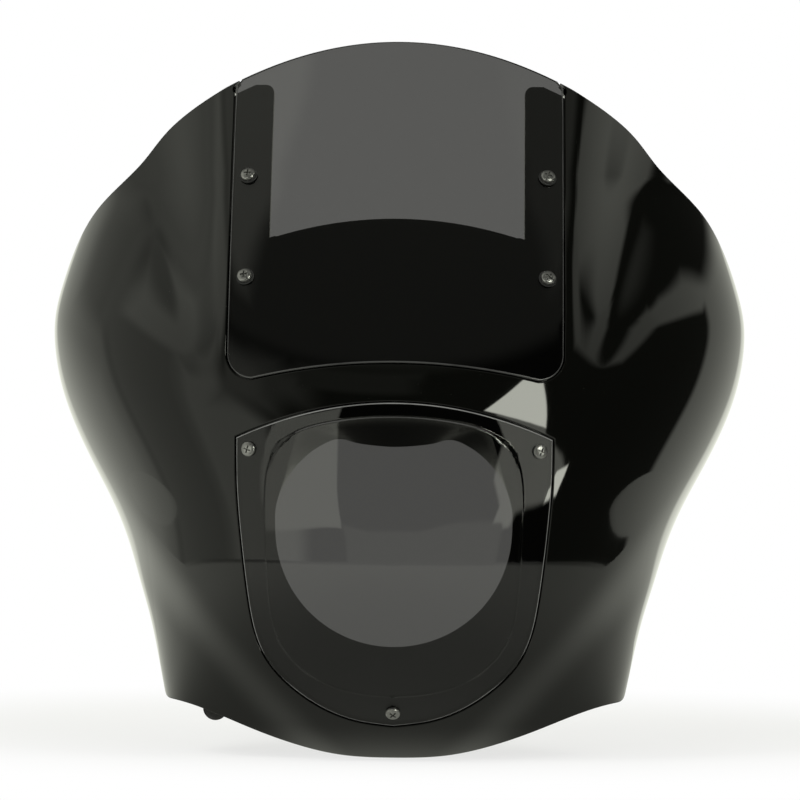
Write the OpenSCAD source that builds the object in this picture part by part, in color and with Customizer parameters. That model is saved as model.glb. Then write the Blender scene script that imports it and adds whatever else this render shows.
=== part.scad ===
// Headlight cowl for a motorcycle fork: moulded skin, screwed-on windshield and lens cover,
// and a pair of inner brackets with rubber-lined clamps for the fork tubes.
// Front faces -Y, +Z is up, +X is to the right of someone who looks at the front.
// The chin's lowest edge is z = 0, the centre plane is x = 0 and y = 0 is half way through the depth.

/* [Skin] */
// Widest half width of the skin, at the side lobes
lobe_half_w = 215.5; // [195:0.5:235]
// Height of the windshield's top edge above the chin
top_z = 435; // [400:1:470]
// Depth of the side lobes behind the nose
lobe_depth = 232; // [190:1:260]
// Wall thickness of the moulded skin
wall = 3.2; // [2.4:0.1:4]
// How far the windshield hump stands out of the lobes at the top
hump_rise = 52; // [30:1:62]
// Half width of the hump's flat top, where its sides start to fall
hump_flat = 94; // [86:1:104]
// Depth of the step between the bowl and the lower corner wings
wing_step = 14; // [6:0.5:20]
// Extra roll of the chin's lower lip
lip_roll = 14; // [4:0.5:20]

/* [Windshield] */
// Width of the windshield
shield_w = 199; // [180:0.5:206]
// Height of the middle of its lower edge above the chin
shield_low_z = 238; // [230:0.5:246]
// Thickness of the windshield sheet
shield_t = 3; // [2:0.1:4]
// Radius of its two lower corners
shield_corner_r = 15; // [8:0.5:22]
// Width of each arm of the skin, from the windshield's edge to the clear window
arm_w = 23; // [18:0.5:34]
// Where the window starts, as a share of the way from the windshield's lower edge to the arms' top
window_share = 0.516; // [0.4:0.002:0.6]
// Distance of the windshield screws from its side edges
shield_screw_inset = 10; // [8:0.5:14]
// Place of the lower pair of windshield screws, as a share of the same way
low_screw_share = 0.294; // [0.2:0.002:0.4]
// Place of the upper pair of windshield screws
high_screw_share = 0.654; // [0.5:0.002:0.8]
// Thread diameter of the windshield screws
shield_thread_d = 5; // [4:0.1:6]

/* [Lens cover] */
// Width of the lens cover at its top corners
lens_w = 186.4; // [176:0.5:190]
// Height of the middle of its top edge above the chin
lens_top_z = 214.5; // [210:0.5:218]
// Height of its lowest point above the chin
lens_low_z = 21.5; // [18:0.5:28]
// Thickness of the lens cover
lens_t = 3; // [2:0.1:4]
// How far the middle of the lens cover stands out of its rim
lens_bulge = 5; // [2:0.5:9]
// Width of the flat rim outside the bend
lens_rim_w = 17.5; // [13:0.5:20]
// Distance of the two upper lens screws from the lens cover's side edges
lens_screw_inset = 7.7; // [6.5:0.1:10]
// How far the two upper lens screws lie below the middle of its top edge
lens_screw_drop = 28; // [25:0.5:34]
// Height of the lower lens screw above the lens cover's lowest point
lens_screw_rise = 8.5; // [7:0.5:12]
// Thread diameter of the lens screws
lens_thread_d = 4.2; // [3.5:0.1:5]

/* [Lamp opening] */
// Radius of the lamp opening
lamp_r = 71; // [64:0.5:74]
// Height of the opening's centre above the chin
lamp_z = 139.5; // [136:0.5:143]
// Depth of the opening's rear edge behind the nose
lamp_y = 44; // [42:0.5:56]

/* [Fork clamps] */
// Radius of the fork tube that the lined clamps hold
tube_r = 19.5; // [17.5:0.5:20.5]
// Half distance between the fork tubes
tube_x = 102; // [98:0.5:103]
// Distance between the two clamps on one tube
clamp_pitch = 90; // [80:1:95]
// Lean of the fork tubes back from vertical
rake = 26; // [24:1:32]
// Width of each clamp along the tube
clamp_w = 20; // [14:1:26]
// Thickness of the rubber liner
liner_t = 2.5; // [1.5:0.1:3]
// Thickness of the clamp band and of the brackets
steel_t = 3; // [2:0.1:4]
// Width of the brackets' plates and arms
strip_w = 16; // [12:0.5:20]
// How much further down the left bracket's lug reaches than the right one
left_lug_drop = 9; // [0:0.5:14]

/* [Hidden] */

// The nose's place on Y, so that the origin is under the middle of the bounding box
nose_y = lens_bulge / 4 - lobe_depth / 2;

// Clearances
gap = 0.1;          // between faces that rest on one another
fit_gap = 0.25;     // between the bent lens cover and its ledge
edge_gap = 0.8;     // between a sheet's edge and the pocket round it

// Heights at which the curves of the skin are given
n_stations = 12;
station_h = top_z / n_stations;
sx = lobe_half_w / 215.5;
sy = lobe_depth / 232;
sz = top_z / 435;
shield_half = shield_w / 2;

// Depth behind the nose along the centre line, from the chin to the top
centre_y = [for (v = [85, 51.6, 28.7, 13.3, 4, 0.4, 3, 15, 34, 57, 83, 111, 140]) v * sy];
// Depth of the sides, from the chin to the top
side_y = [for (v = [108, 136, 160, 188, 214, 229, 232, 224, 213, 216, 235, 262, 290]) v * sy];
// Share of the hump's rise, from the chin to the top
hump_share = [0, 0, 0, 0, 0, 0, 0.005, 0.11, 0.36, 0.61, 0.8, 0.92, 1];

// Outline of the skin's side edge: half widths at even steps from the lower corner up
corner_z = 31.4 * sz;
shoulder_z = 405.7 * sz;
edge_steps = 16;
edge_h = (shoulder_z - corner_z) / edge_steps;
edge_x = [each [for (v = [139.5, 145, 150.9, 158.9, 166.6, 176.4, 189, 200.9, 209.9, 214.8, 215.2,
  208.9, 199.1, 183.7, 158, 138.3]) v * sx], shield_half + 4.5];

// A smooth curve through values at even steps
function at(v, k) = let (n = len(v) - 1)
  k < 0 ? v[0] + k * (v[1] - v[0]) : k > n ? v[n] + (k - n) * (v[n] - v[n - 1]) : v[k];
function knots(v) = [for (k = [-2 : len(v) + 1])
  at(v, k) - (at(v, k - 1) - 2 * at(v, k) + at(v, k + 1)) / 6];
function curve(c, t) = let (n = len(c) - 4, i = min(max(floor(t), 0), n - 1), u = t - i)
  (pow(1 - u, 3) * c[i + 1] + (3 * u * u * u - 6 * u * u + 4) * c[i + 2]
  + (-3 * u * u * u + 3 * u * u + 3 * u + 1) * c[i + 3] + u * u * u * c[i + 4]) / 6;
centre_c = knots(centre_y);
side_c = knots(side_y);
hump_c = knots(hump_share);
edge_c = knots(edge_x);

function step3(t) = let (u = min(max(t, 0), 1)) u * u * u * (10 - 15 * u + 6 * u * u);
function smooth_max(a, b, k) = let (h = max(k - abs(a - b), 0) / k) max(a, b) + h * h * k / 4;

// Half width of the side edge at a height
function edge_half(z) = curve(edge_c, (z - corner_z) / edge_h);
// Half width at which the skin would turn edge-on
function body_half(z) = let (e = edge_half(min(z, shoulder_z)) / 0.998)
  z < 254 * sz ? e : smooth_max(e, 190 * sx, 24);
// Round section: 0 at the middle, 1 where it turns edge-on
function section(u) = let (v = min(abs(u), 0.9995))
  0.5 * (1 - sqrt(1 - v * v)) + 0.5 * (1 - pow(1 - v * v * v, 1 / 3));
section_edge = section(0.998);
function hump(z) = hump_rise * curve(hump_c, z / station_h);
function valley_half(z) = (123 + 0.308 * (z / sz - 229)) * sx;
// Distance outward from the crease between the bowl and a lower wing
function wing_out(x, z) = 0.743 * (abs(x) / sx - 71) - 0.669 * (z / sz - 9);

// Place of the outer skin on Y
function skin_y(x, z) =
  let (y0 = curve(centre_c, z / station_h), h = hump(z),
    d = (curve(side_c, z / station_h) - y0 - h) / section_edge,
    fall = (abs(x) - hump_flat) / max(valley_half(z) - hump_flat, 12),
    lip = max(22 - z, 0) / 22)
  nose_y + y0 + h * step3(fall) + d * section(x / body_half(z))
  + wing_step * step3((wing_out(x, z) + 32) / 34) + lip_roll * pow(lip, 2.2);
function slope_x(x, z) = (skin_y(x + 0.05, z) - skin_y(x - 0.05, z)) / 0.1;
function slope_z(x, z) = (skin_y(x, z + 0.05) - skin_y(x, z - 0.05)) / 0.1;
// Outward normal
function skin_n(x, z) = let (a = slope_x(x, z), b = slope_z(x, z), n = sqrt(1 + a * a + b * b))
  [a / n, -1 / n, b / n];

// Grid over the skin: rows from the chin's edge to the windshield's top edge
rows = 22;
cols = 15;
function lip_shape(u) = pow(u, 2.2) * (1 + 1.25 * u * (1 - u));
function grid_z(t, u) = let (low = top_z * t, high = corner_z + (shoulder_z - corner_z) * t,
    q = (1 - t) * lip_shape(u) + t * u * u) low + (high - low) * q;
function grid_u(j) = sin(90 * j / cols);
half_grid = [for (i = [0 : rows]) let (t = i / rows,
    rim = edge_half(corner_z + (shoulder_z - corner_z) * t))
  [for (j = [0 : cols]) let (u = grid_u(j), x = rim * u, z = grid_z(t, u))
    [x, skin_y(x, z), z]]];
half_n = [for (r = half_grid) [for (j = [0 : cols]) let (p = r[j],
    x = j == cols ? p[0] - 0.1 : p[0], n = skin_n(x, p[2]))
  j == 0 ? [0, n[1], n[2]] / norm([0, n[1], n[2]]) : n]];
function flip(p) = [-p[0], p[1], p[2]];
grid_p = [for (r = half_grid) concat([for (j = [cols : -1 : 1]) flip(r[j])], r)];
grid_n = [for (r = half_n) concat([for (j = [cols : -1 : 1]) flip(r[j])], r)];

// A closed sheet between two depths below a grid of points
module sheet(p, n, d0, d1) {
  nr = len(p);
  nc = len(p[0]);
  m = (nc - 1) / 2;
  pts = concat([for (i = [0 : nr - 1]) for (j = [0 : nc - 1]) p[i][j] - n[i][j] * d0],
    [for (i = [0 : nr - 1]) for (j = [0 : nc - 1]) p[i][j] - n[i][j] * d1]);
  k = nr * nc;
  front = [for (i = [0 : nr - 2]) for (j = [0 : nc - 2]) let (a = i * nc + j)
    each j < m ? [[a, a + nc, a + 1], [a + 1, a + nc, a + nc + 1]]
      : [[a, a + nc, a + nc + 1], [a, a + nc + 1, a + 1]]];
  back = [for (f = front) [f[0] + k, f[2] + k, f[1] + k]];
  low = [for (j = [0 : nc - 2]) [j, j + 1, k + j + 1, k + j]];
  high = [for (j = [0 : nc - 2]) let (a = (nr - 1) * nc + j) [a + 1, a, k + a, k + a + 1]];
  left = [for (i = [0 : nr - 2]) let (a = i * nc) [a + nc, a, k + a, k + a + nc]];
  right = [for (i = [0 : nr - 2]) let (a = i * nc + nc - 1) [a, a + nc, k + a + nc, k + a]];
  quads = concat(low, high, left, right);
  polyhedron(pts, concat(front, back,
    [for (q = quads) each [[q[0], q[1], q[2]], [q[0], q[2], q[3]]]]), convexity = 12);
}
module layer(d0, d1) { sheet(grid_p, grid_n, d0, d1); }

// A prism that runs front to back through a front-view outline
module through(y0 = -60, y1 = 320) {
  translate([0, nose_y + y1, 0]) rotate([90, 0, 0]) linear_extrude(height = y1 - y0) children();
}

// Front-view outlines
function mirrored(p) = concat(p,
  [for (k = [len(p) - 1 : -1 : 0]) if (p[k][0] > 0.001) [-p[k][0], p[k][1]]]);
shield_rise = 9;
module shield_outline(grow = 0) {
  offset(delta = grow) offset(r = shield_corner_r) offset(delta = -shield_corner_r)
    polygon(mirrored(concat([for (k = [0 : 12]) let (x = shield_half * k / 12)
      [x, shield_low_z - shield_rise * pow(x / 80, 2)]], [[shield_half, top_z + 40]])));
}
// Ledge that the windshield lies on, inside of which the skin is a little deeper
ledge_w = 26;
ledge_drop = 1;
module shield_recess() {
  w = shield_half - ledge_w;
  polygon(mirrored(concat([for (k = [0 : 8]) let (x = w * k / 8)
    [x, shield_low_z + 10 - 8 * pow(x / w, 2)]], [[w, window_low_z]])));
}
// Clear window, open at the top, with the arms' top edges
arm_z = 408.4 * sz;
window_low_z = shield_low_z + (arm_z - shield_low_z) * window_share;
module window_outline() {
  w = shield_half - arm_w;
  r = 5;
  polygon(mirrored(concat([for (k = [0 : 8]) let (x = w * k / 8)
      [x, window_low_z - 12.6 * pow(x / w, 2)]],
    [for (a = [0 : 22.5 : 90]) [w + r - r * cos(a), arm_z - r + r * sin(a)]],
    [[shield_half - 12, arm_z], [shield_half + edge_gap, arm_z - 6],
      [shield_half + edge_gap, top_z + 60]])));
}

// Half outline of the lens cover, from its lowest point to its top corner
lens_corner_z = lens_top_z - 21.3;
lens_x_c = knots([for (v = [0, 21.5, 39.9, 53.6, 64.8, 73, 79.5, 84.4, 88.2, 91, 93, 93.2])
  v * lens_w / 186.4]);
lens_z_c = knots([for (v = [21.2, 24, 31, 39.5, 48.8, 58.5, 70, 87, 114, 140, 166, 193.2])
  lens_low_z + (v - 21.2) * (lens_corner_z - lens_low_z) / 172]);
function lens_edge(k) = [max(curve(lens_x_c, k), 0), curve(lens_z_c, k)];
module lens_outline(grow = 0) {
  offset(delta = grow)
    polygon(mirrored(concat([for (k = [0 : 0.5 : 11]) k == 0 ? [0, lens_low_z] : lens_edge(k)],
      [for (k = [5 : -1 : 0]) let (u = k / 6)
        [u * lens_w / 2, lens_top_z - (lens_top_z - lens_corner_z) * u * u]])));
}

// Grid over the lens cover, with lines along the bend between rim and middle
lens_turn = 5;
lens_bend_u = 1 - lens_rim_w / (lens_w / 2);
lens_bend_t = 1 - 2 * lens_rim_w / (lens_top_z - lens_low_z);
lens_u = concat([for (k = [0 : 7]) lens_bend_u * sin(90 * k / 7)],
  [(1 + lens_bend_u) / 2, 1]);
lens_t_rows = concat([-1, -(1 + lens_bend_t) / 2],
  [for (k = [-7 : 7]) lens_bend_t * sin(90 * k / 7)], [(1 + lens_bend_t) / 2, 1]);
function lens_bend(u, v) = let (r = pow(pow(u / lens_bend_u, 7)
  + pow(abs(v) / lens_bend_t, 7), 1 / 7)) lens_bulge * max(0, 1 - pow(r, 3));
lens_half = [for (v = lens_t_rows) let (t = (v + 1) / 2,
    rim = lens_edge(lens_turn + (11 - lens_turn) * t),
    middle = lens_low_z + (lens_top_z - lens_low_z) * t)
  [for (u = lens_u) let (e = lens_edge(lens_turn * u), e1 = lens_edge(lens_turn),
      x = rim[0] * ((1 - t) * e[0] / e1[0] + t * u),
      q = (1 - t) * (e[1] - lens_low_z) / (e1[1] - lens_low_z) + t * u * u,
      z = middle + (rim[1] - middle) * q)
    [x, z, lens_bend(u, v)]]];
lens_n_half = [for (r = lens_half) [for (q = r) let (n = skin_n(q[0], q[1]))
  q[0] < 0.01 ? [0, n[1], n[2]] / norm([0, n[1], n[2]]) : n]];
lens_p_half = [for (i = [0 : len(lens_half) - 1]) [for (j = [0 : len(lens_u) - 1])
  let (q = lens_half[i][j]) [q[0], skin_y(q[0], q[1]), q[1]] + lens_n_half[i][j] * q[2]]];
function both(g) = let (m = len(g[0]) - 1)
  [for (r = g) concat([for (j = [m : -1 : 1]) flip(r[j])], r)];

// Lamp opening: front loop in the skin under the lens cover, rear loop in a flat plane
lamp_s = lamp_r / 71;
hood_front = mirrored_loop([[70.5, 13], [65.5, 30], [61, 46], [57, 57], [50, 62], [36, 65],
  [18, 67], [0, 67.5]]);
hood_rear = mirrored_loop([[69, 17], [61, 33], [51, 44], [40, 51], [32, 53], [22, 50.6],
  [11, 49.2], [0, 48.6]]);
function mirrored_loop(up) = let (half = concat([for (k = [0 : 9]) [71 * sin(10 * k),
    -71 * cos(10 * k)]], up))
  [for (p = concat(half, [for (k = [len(half) - 2 : -1 : 1]) [-half[k][0], half[k][1]]]))
    p * lamp_s];
function grown(loop, d) = [for (p = loop) p * (1 + d / norm(p))];
module hood() {
  n = len(hood_front);
  mid = lens_t + gap + wall / 2 + 0.6;
  function front(loop) = [for (p = loop) [p[0], skin_y(p[0], lamp_z + p[1]) + mid, lamp_z + p[1]]];
  function rear(loop, f) = [for (k = [0 : n - 1])
    [loop[k][0], max(nose_y + lamp_y, f[k][1] + 5), lamp_z + loop[k][1]]];
  fi = front(grown(hood_front, 0.3));
  fo = front(grown(hood_front, wall));
  ri = rear(grown(hood_rear, 0.3), fi);
  ro = rear(grown(hood_rear, wall), fi);
  loops = [fi, fo, ro, ri];
  polyhedron([for (l = loops) each l],
    [for (s = [0 : 3]) for (k = [0 : n - 1]) let (a = s * n, b = ((s + 1) % 4) * n, m = (k + 1) % n)
      each [[a + k, a + m, b + k], [a + m, b + m, b + k]]], convexity = 8);
}

// Places children on the skin, with +Z along its outward normal
module on_skin(x, z, depth = 0) {
  n = skin_n(x, z);
  translate([x, skin_y(x, z), z] - n * depth)
    rotate([0, acos(n[2]), atan2(n[1], n[0])]) children();
}
shield_screw_at = [for (k = [low_screw_share, high_screw_share]) for (s = [-1, 1])
  [s * (shield_half - shield_screw_inset), shield_low_z + (arm_z - shield_low_z) * k]];
lens_screw_x = lens_w / 2 - lens_screw_inset;
lens_screw_at = [[-lens_screw_x, lens_top_z - lens_screw_drop],
  [lens_screw_x, lens_top_z - lens_screw_drop], [0, lens_low_z + lens_screw_rise]];
seat_h = 1;
shield_back = shield_t + gap + wall + seat_h;
lens_back = lens_t + gap + wall + seat_h;

module skin_mesh() {
  difference() {
    union() {
      layer(0, wall);
      intersection() {
        layer(0.5, shield_t + gap + wall);
        through() intersection() {
          shield_outline(edge_gap + wall - 0.6);
          polygon(mirrored([[0, 0], [shield_half + 9, 0], [shield_half + 9, arm_z - 10],
            [shield_half, arm_z - 3.2], [shield_half - 12, arm_z + 2.6], [0, arm_z + 6]]));
        }
      }
      intersection() {
        layer(0.5, lens_t + gap + wall);
        through(-20, 150) lens_outline(edge_gap + wall);
      }
    }
    intersection() {
      layer(-6, shield_t + gap);
      through() shield_outline(edge_gap);
    }
    intersection() {
      layer(-6, shield_t + gap + ledge_drop);
      through() shield_recess();
    }
    through() window_outline();
    intersection() {
      layer(-6, lens_t + fit_gap);
      through(-20, 150) lens_outline(edge_gap);
    }
    through(-20, 150) translate([0, lamp_z]) polygon(hood_front);
  }
}

// Inner brackets: a plate beside each fork tube, with a lug that reaches the skin at each end
band_r = tube_r + liner_t + gap;
bolt_d = 6;
ear_bolt = band_r + 2 * bolt_d;      // from the tube's axis to the bolt
ear_l = ear_bolt + 1.3 * bolt_d;
ear_slit = 0.3;
ear_w = 2 * steel_t + ear_slit;
plate_x = tube_x + band_r + steel_t + 2 * gap;
plate_out = plate_x + steel_t;
// Middle of the lower clamp, far enough back for its bolt and nut to clear the skin
tube_z = 85;
tube_y = max(nose_y + 163, skin_y(plate_out + 1.5 * bolt_d, tube_z) + ear_bolt + 2 * bolt_d);
arm_half = strip_w / 2;
lug_d = 5;          // thread of the lug screws
lug_half = 7.5;
lug_tip_z = 38.1;
low_lug = [tube_x + 5.8, 52];
high_lug = [tube_x + 16, 181];
low_arm_z = 96;
// The lugs lie behind the skin, at whole millimetres, far enough for their outline to clear it
lug_room = 1.15 * wall + 1.7;
low_lug_y = ceil(max(skin_y(low_lug[0] + lug_half, lug_tip_z - left_lug_drop),
  skin_y(plate_out, low_arm_z - arm_half)) + lug_room);
high_lug_y = ceil(skin_y(plate_out, high_lug[1] - arm_half) + lug_room);
function tube_back(z) = tube_y + (z - tube_z) * tan(rake);

module on_tube(s, t) {
  mirror([s < 0 ? 1 : 0, 0, 0]) translate([tube_x, tube_y, tube_z]) rotate([-rake, 0, 0])
    translate([0, 0, t]) children();
}
clamp_at = [[-1, 0], [-1, clamp_pitch], [1, 0], [1, clamp_pitch]];
lug_at = [low_lug, high_lug];
lug_face = [low_lug_y, high_lug_y];

module lug_bosses() {
  difference() {
    for (s = [-1, 1]) for (k = [0, 1]) let (p = lug_at[k], y = skin_y(p[0], p[1]) - 4)
      translate([s * p[0], lug_face[k] - gap, p[1]]) rotate([90, 0, 0])
        cylinder(r = 6.5, h = lug_face[k] - gap - y, $fn = 28);
    layer(-26, 0.8);
  }
}

module cowl_shell() {
  color([0.02, 0.02, 0.02]) difference() {
    resize([0, 0, 0]) union() {
      skin_mesh();
      hood();
      lug_bosses();
      for (p = shield_screw_at) on_skin(p[0], p[1], shield_back)
        cylinder(r = 7.5, h = seat_h + 1.2, $fn = 28);
      for (p = lens_screw_at) on_skin(p[0], p[1], lens_back)
        cylinder(r = 7, h = seat_h + 1.2, $fn = 28);
    }
    for (p = shield_screw_at) on_skin(p[0], p[1], shield_back + 2)
      cylinder(d = shield_thread_d + 0.6, h = 14, $fn = 48);
    for (p = lens_screw_at) on_skin(p[0], p[1], lens_back + 2)
      cylinder(d = lens_thread_d + 0.6, h = 14, $fn = 48);
    for (s = [-1, 1]) for (k = [0, 1]) let (p = lug_at[k])
      translate([s * p[0], lug_face[k] + 1, p[1]]) rotate([90, 0, 0])
        cylinder(d = lug_d + 0.2, h = 10, $fn = 48);
  }
}

module windshield() {
  color([0.1, 0.1, 0.1, 0.5]) difference() {
    resize([0, 0, 0]) intersection() {
      layer(0, shield_t);
      through() shield_outline();
    }
    for (p = shield_screw_at) on_skin(p[0], p[1], 8)
      cylinder(d = shield_thread_d + 0.8, h = 16, $fn = 48);
  }
}

module headlight_lens() {
  color([0.1, 0.1, 0.1, 0.5]) difference() {
    sheet(both(lens_p_half), both(lens_n_half), 0, lens_t);
    for (p = lens_screw_at) on_skin(p[0], p[1], 8)
      cylinder(d = lens_thread_d + 0.8, h = 16, $fn = 48);
  }
}

// Pan-head screw, tip down, with the underside of its head at z = 0 and a cross recess
module pan_screw(d, head_d, head_h, l) {
  difference() {
    rotate_extrude($fn = 48) polygon([[0, -l], [d / 2 - 0.5, -l], [d / 2, -l + 0.6], [d / 2, 0],
      [head_d / 2, 0], [head_d / 2, head_h * 0.45], [head_d / 2 - 0.4, head_h * 0.7],
      [head_d / 2 - 1.3, head_h * 0.93], [head_d / 4, head_h], [0, head_h]]);
    for (a = [0, 90]) rotate([0, 0, a]) translate([-head_d * 0.27, -0.55, head_h * 0.42])
      cube([head_d * 0.54, 1.1, head_h]);
  }
}
module plain_washer(d, r, h) {
  difference() {
    cylinder(r = r, h = h, $fn = 48);
    translate([0, 0, -1]) cylinder(d = d + 0.5, h = h + 2, $fn = 48);
  }
}
// Hexagon nut with a washer face below it
module hex_nut(d, across, h) {
  difference() {
    union() {
      translate([0, 0, 0.4]) cylinder(d = across / cos(30), h = h - 0.4, $fn = 6);
      cylinder(d = across * 0.94, h = 0.8, $fn = 48);
    }
    translate([0, 0, -1]) cylinder(d = d + 0.2, h = h + 2, $fn = 48);
  }
}

washer_h = 1;
shield_nut_h = 4;
lens_nut_h = 3.2;
shield_stack = shield_back + gap + washer_h + gap;
module windshield_screws() {
  color([0.2, 0.2, 0.21]) for (p = shield_screw_at) on_skin(p[0], p[1], -washer_h - 2 * gap)
    pan_screw(shield_thread_d, 8.8, 3, shield_stack + washer_h + 2 * gap + shield_nut_h + 1.5);
}
module windshield_washers() {
  color([0.05, 0.05, 0.05]) for (p = shield_screw_at) on_skin(p[0], p[1], -gap)
    plain_washer(shield_thread_d, 5.4, washer_h);
}
module windshield_backing_washers() {
  color([0.6, 0.6, 0.6]) for (p = shield_screw_at)
    on_skin(p[0], p[1], shield_back + gap + washer_h) plain_washer(shield_thread_d, 6, washer_h);
}
module windshield_nuts() {
  color([0.6, 0.6, 0.6]) for (p = shield_screw_at)
    on_skin(p[0], p[1], shield_stack) rotate([180, 0, 0])
      hex_nut(shield_thread_d, 8, shield_nut_h);
}
module lens_screws() {
  color([0.2, 0.2, 0.21]) for (p = lens_screw_at) on_skin(p[0], p[1], -gap)
    pan_screw(lens_thread_d, 8.8, 2.6, lens_back + 2 * gap + lens_nut_h + 1.5);
}
module lens_nuts() {
  color([0.6, 0.6, 0.6]) for (p = lens_screw_at)
    on_skin(p[0], p[1], lens_back + gap) rotate([180, 0, 0])
      hex_nut(lens_thread_d, 7, lens_nut_h);
}

// Bracket on one side; drop is how much further down its lower lug reaches
module bracket(s, drop) {
  arm = arm_half;
  high_z = high_lug[1];
  color([0.08, 0.08, 0.08]) mirror([s < 0 ? 1 : 0, 0, 0]) difference() {
    union() {
      // Plate: a strip along the tube with an arm at each end
      translate([plate_x, 0, 0]) rotate([90, 0, 90]) linear_extrude(height = steel_t) union() {
        translate([tube_y, tube_z]) rotate(-rake)
          translate([-ear_bolt - 1.25 * arm, -1.5 * arm])
            square([2.5 * arm, clamp_pitch + 3 * arm]);
        translate([low_lug_y, low_arm_z - arm])
          square([tube_back(low_arm_z) - ear_bolt - low_lug_y, 2 * arm]);
        translate([high_lug_y, high_z - arm])
          square([tube_back(high_z) - ear_bolt + arm - high_lug_y, 2 * arm]);
      }
      // Lower lug
      translate([0, low_lug_y + steel_t, 0]) rotate([90, 0, 0])
        linear_extrude(height = steel_t) union() {
          translate([low_lug[0], lug_tip_z - drop]) circle(r = lug_half, $fn = 48);
          translate([low_lug[0] - lug_half, lug_tip_z - drop])
            square([2 * lug_half, low_arm_z + arm - lug_tip_z + drop]);
          translate([low_lug[0], low_arm_z - arm])
            square([plate_out - low_lug[0], 2 * arm]);
        }
      // Upper lug
      translate([0, high_lug_y + steel_t, 0]) rotate([90, 0, 0])
        linear_extrude(height = steel_t) union() {
          translate(high_lug) circle(r = arm, $fn = 48);
          translate([high_lug[0], high_z - arm]) square([plate_out - high_lug[0], 2 * arm]);
        }
    }
    for (k = [0, 1]) let (p = lug_at[k]) translate([p[0], lug_face[k] + steel_t + 1, p[1]])
      rotate([90, 0, 0]) cylinder(d = lug_d + 0.5, h = steel_t + 2, $fn = 48);
    translate([tube_x, tube_y, tube_z]) rotate([-rake, 0, 0]) for (t = [0, clamp_pitch])
      translate([band_r, -ear_bolt, t]) rotate([0, 90, 0])
        cylinder(d = bolt_d + 0.5, h = 4 * steel_t, $fn = 48);
  }
}
module left_bracket() { bracket(-1, left_lug_drop); }
module right_bracket() { bracket(1, 0); }

module bracket_screws() {
  color([0.3, 0.3, 0.3]) for (s = [-1, 1]) for (k = [0, 1]) let (p = lug_at[k])
    translate([s * p[0], lug_face[k] + steel_t + gap, p[1]]) rotate([-90, 0, 0])
      pan_screw(lug_d, 9, 3, steel_t + gap + 8);
}

// Band clamp round a fork tube, with two ears that lie against the bracket's plate
module fork_clamp(s, t) {
  color([0.08, 0.08, 0.08]) on_tube(s, t) difference() {
    union() {
      translate([0, 0, -clamp_w / 2]) cylinder(r = band_r + steel_t, h = clamp_w, $fn = 96);
      translate([band_r - ear_slit - steel_t, -ear_l, -clamp_w / 2])
        cube([ear_w, ear_l, clamp_w]);
    }
    translate([0, 0, -clamp_w / 2 - 1]) cylinder(r = band_r, h = clamp_w + 2, $fn = 96);
    translate([band_r - ear_slit, -ear_l - 1, -clamp_w / 2 - 1])
      cube([ear_slit, ear_l - 5, clamp_w + 2]);
    translate([band_r - 2 * ear_w, -ear_bolt, 0]) rotate([0, 90, 0])
      cylinder(d = bolt_d + 0.5, h = 4 * ear_w, $fn = 48);
  }
}
module fork_liner(s, t) {
  color([0.03, 0.03, 0.03]) on_tube(s, t) difference() {
    translate([0, 0, -clamp_w / 2 - 1]) cylinder(r = tube_r + liner_t, h = clamp_w + 2, $fn = 96);
    translate([0, 0, -clamp_w / 2 - 2]) cylinder(r = tube_r, h = clamp_w + 4, $fn = 96);
  }
}
module left_lower_clamp() { fork_clamp(-1, 0); }
module left_upper_clamp() { fork_clamp(-1, clamp_pitch); }
module right_lower_clamp() { fork_clamp(1, 0); }
module right_upper_clamp() { fork_clamp(1, clamp_pitch); }
module left_lower_liner() { fork_liner(-1, 0); }
module left_upper_liner() { fork_liner(-1, clamp_pitch); }
module right_lower_liner() { fork_liner(1, 0); }
module right_upper_liner() { fork_liner(1, clamp_pitch); }

module clamp_bolts() {
  l = 3 * steel_t + ear_slit + 4 * gap + 6;
  color([0.5, 0.5, 0.5]) for (c = clamp_at) on_tube(c[0], c[1])
    translate([band_r - ear_slit - steel_t - gap, -ear_bolt, 0]) rotate([0, 90, 0]) union() {
      cylinder(d = bolt_d, h = l, $fn = 48);
      translate([0, 0, -4]) cylinder(d = 10 / cos(30), h = 4.0, $fn = 6);
    }
}
module clamp_nuts() {
  color([0.5, 0.5, 0.5]) for (c = clamp_at) on_tube(c[0], c[1])
    translate([band_r + 2 * steel_t + 3 * gap, -ear_bolt, 0]) rotate([0, 90, 0])
      hex_nut(bolt_d, 10, 4.8);
}

cowl_shell();
windshield();
headlight_lens();
windshield_screws();
windshield_washers();
windshield_backing_washers();
windshield_nuts();
lens_screws();
lens_nuts();
left_bracket();
right_bracket();
bracket_screws();
left_lower_clamp();
left_upper_clamp();
right_lower_clamp();
right_upper_clamp();
left_lower_liner();
left_upper_liner();
right_lower_liner();
right_upper_liner();
clamp_bolts();
clamp_nuts();
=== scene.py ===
"""Headlight cowl: gloss skin, smoked windshield and lens cover, screws, brackets and fork clamps.

Lengths are in millimetres until a mesh is made, and the frame is the part's own: front faces -Y,
+Z is up, the chin's lowest edge is z = 0 and the centre plane is x = 0.
"""
import math
import bpy
import bmesh
import numpy as np
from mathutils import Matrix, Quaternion, Vector, geometry, kdtree


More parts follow.
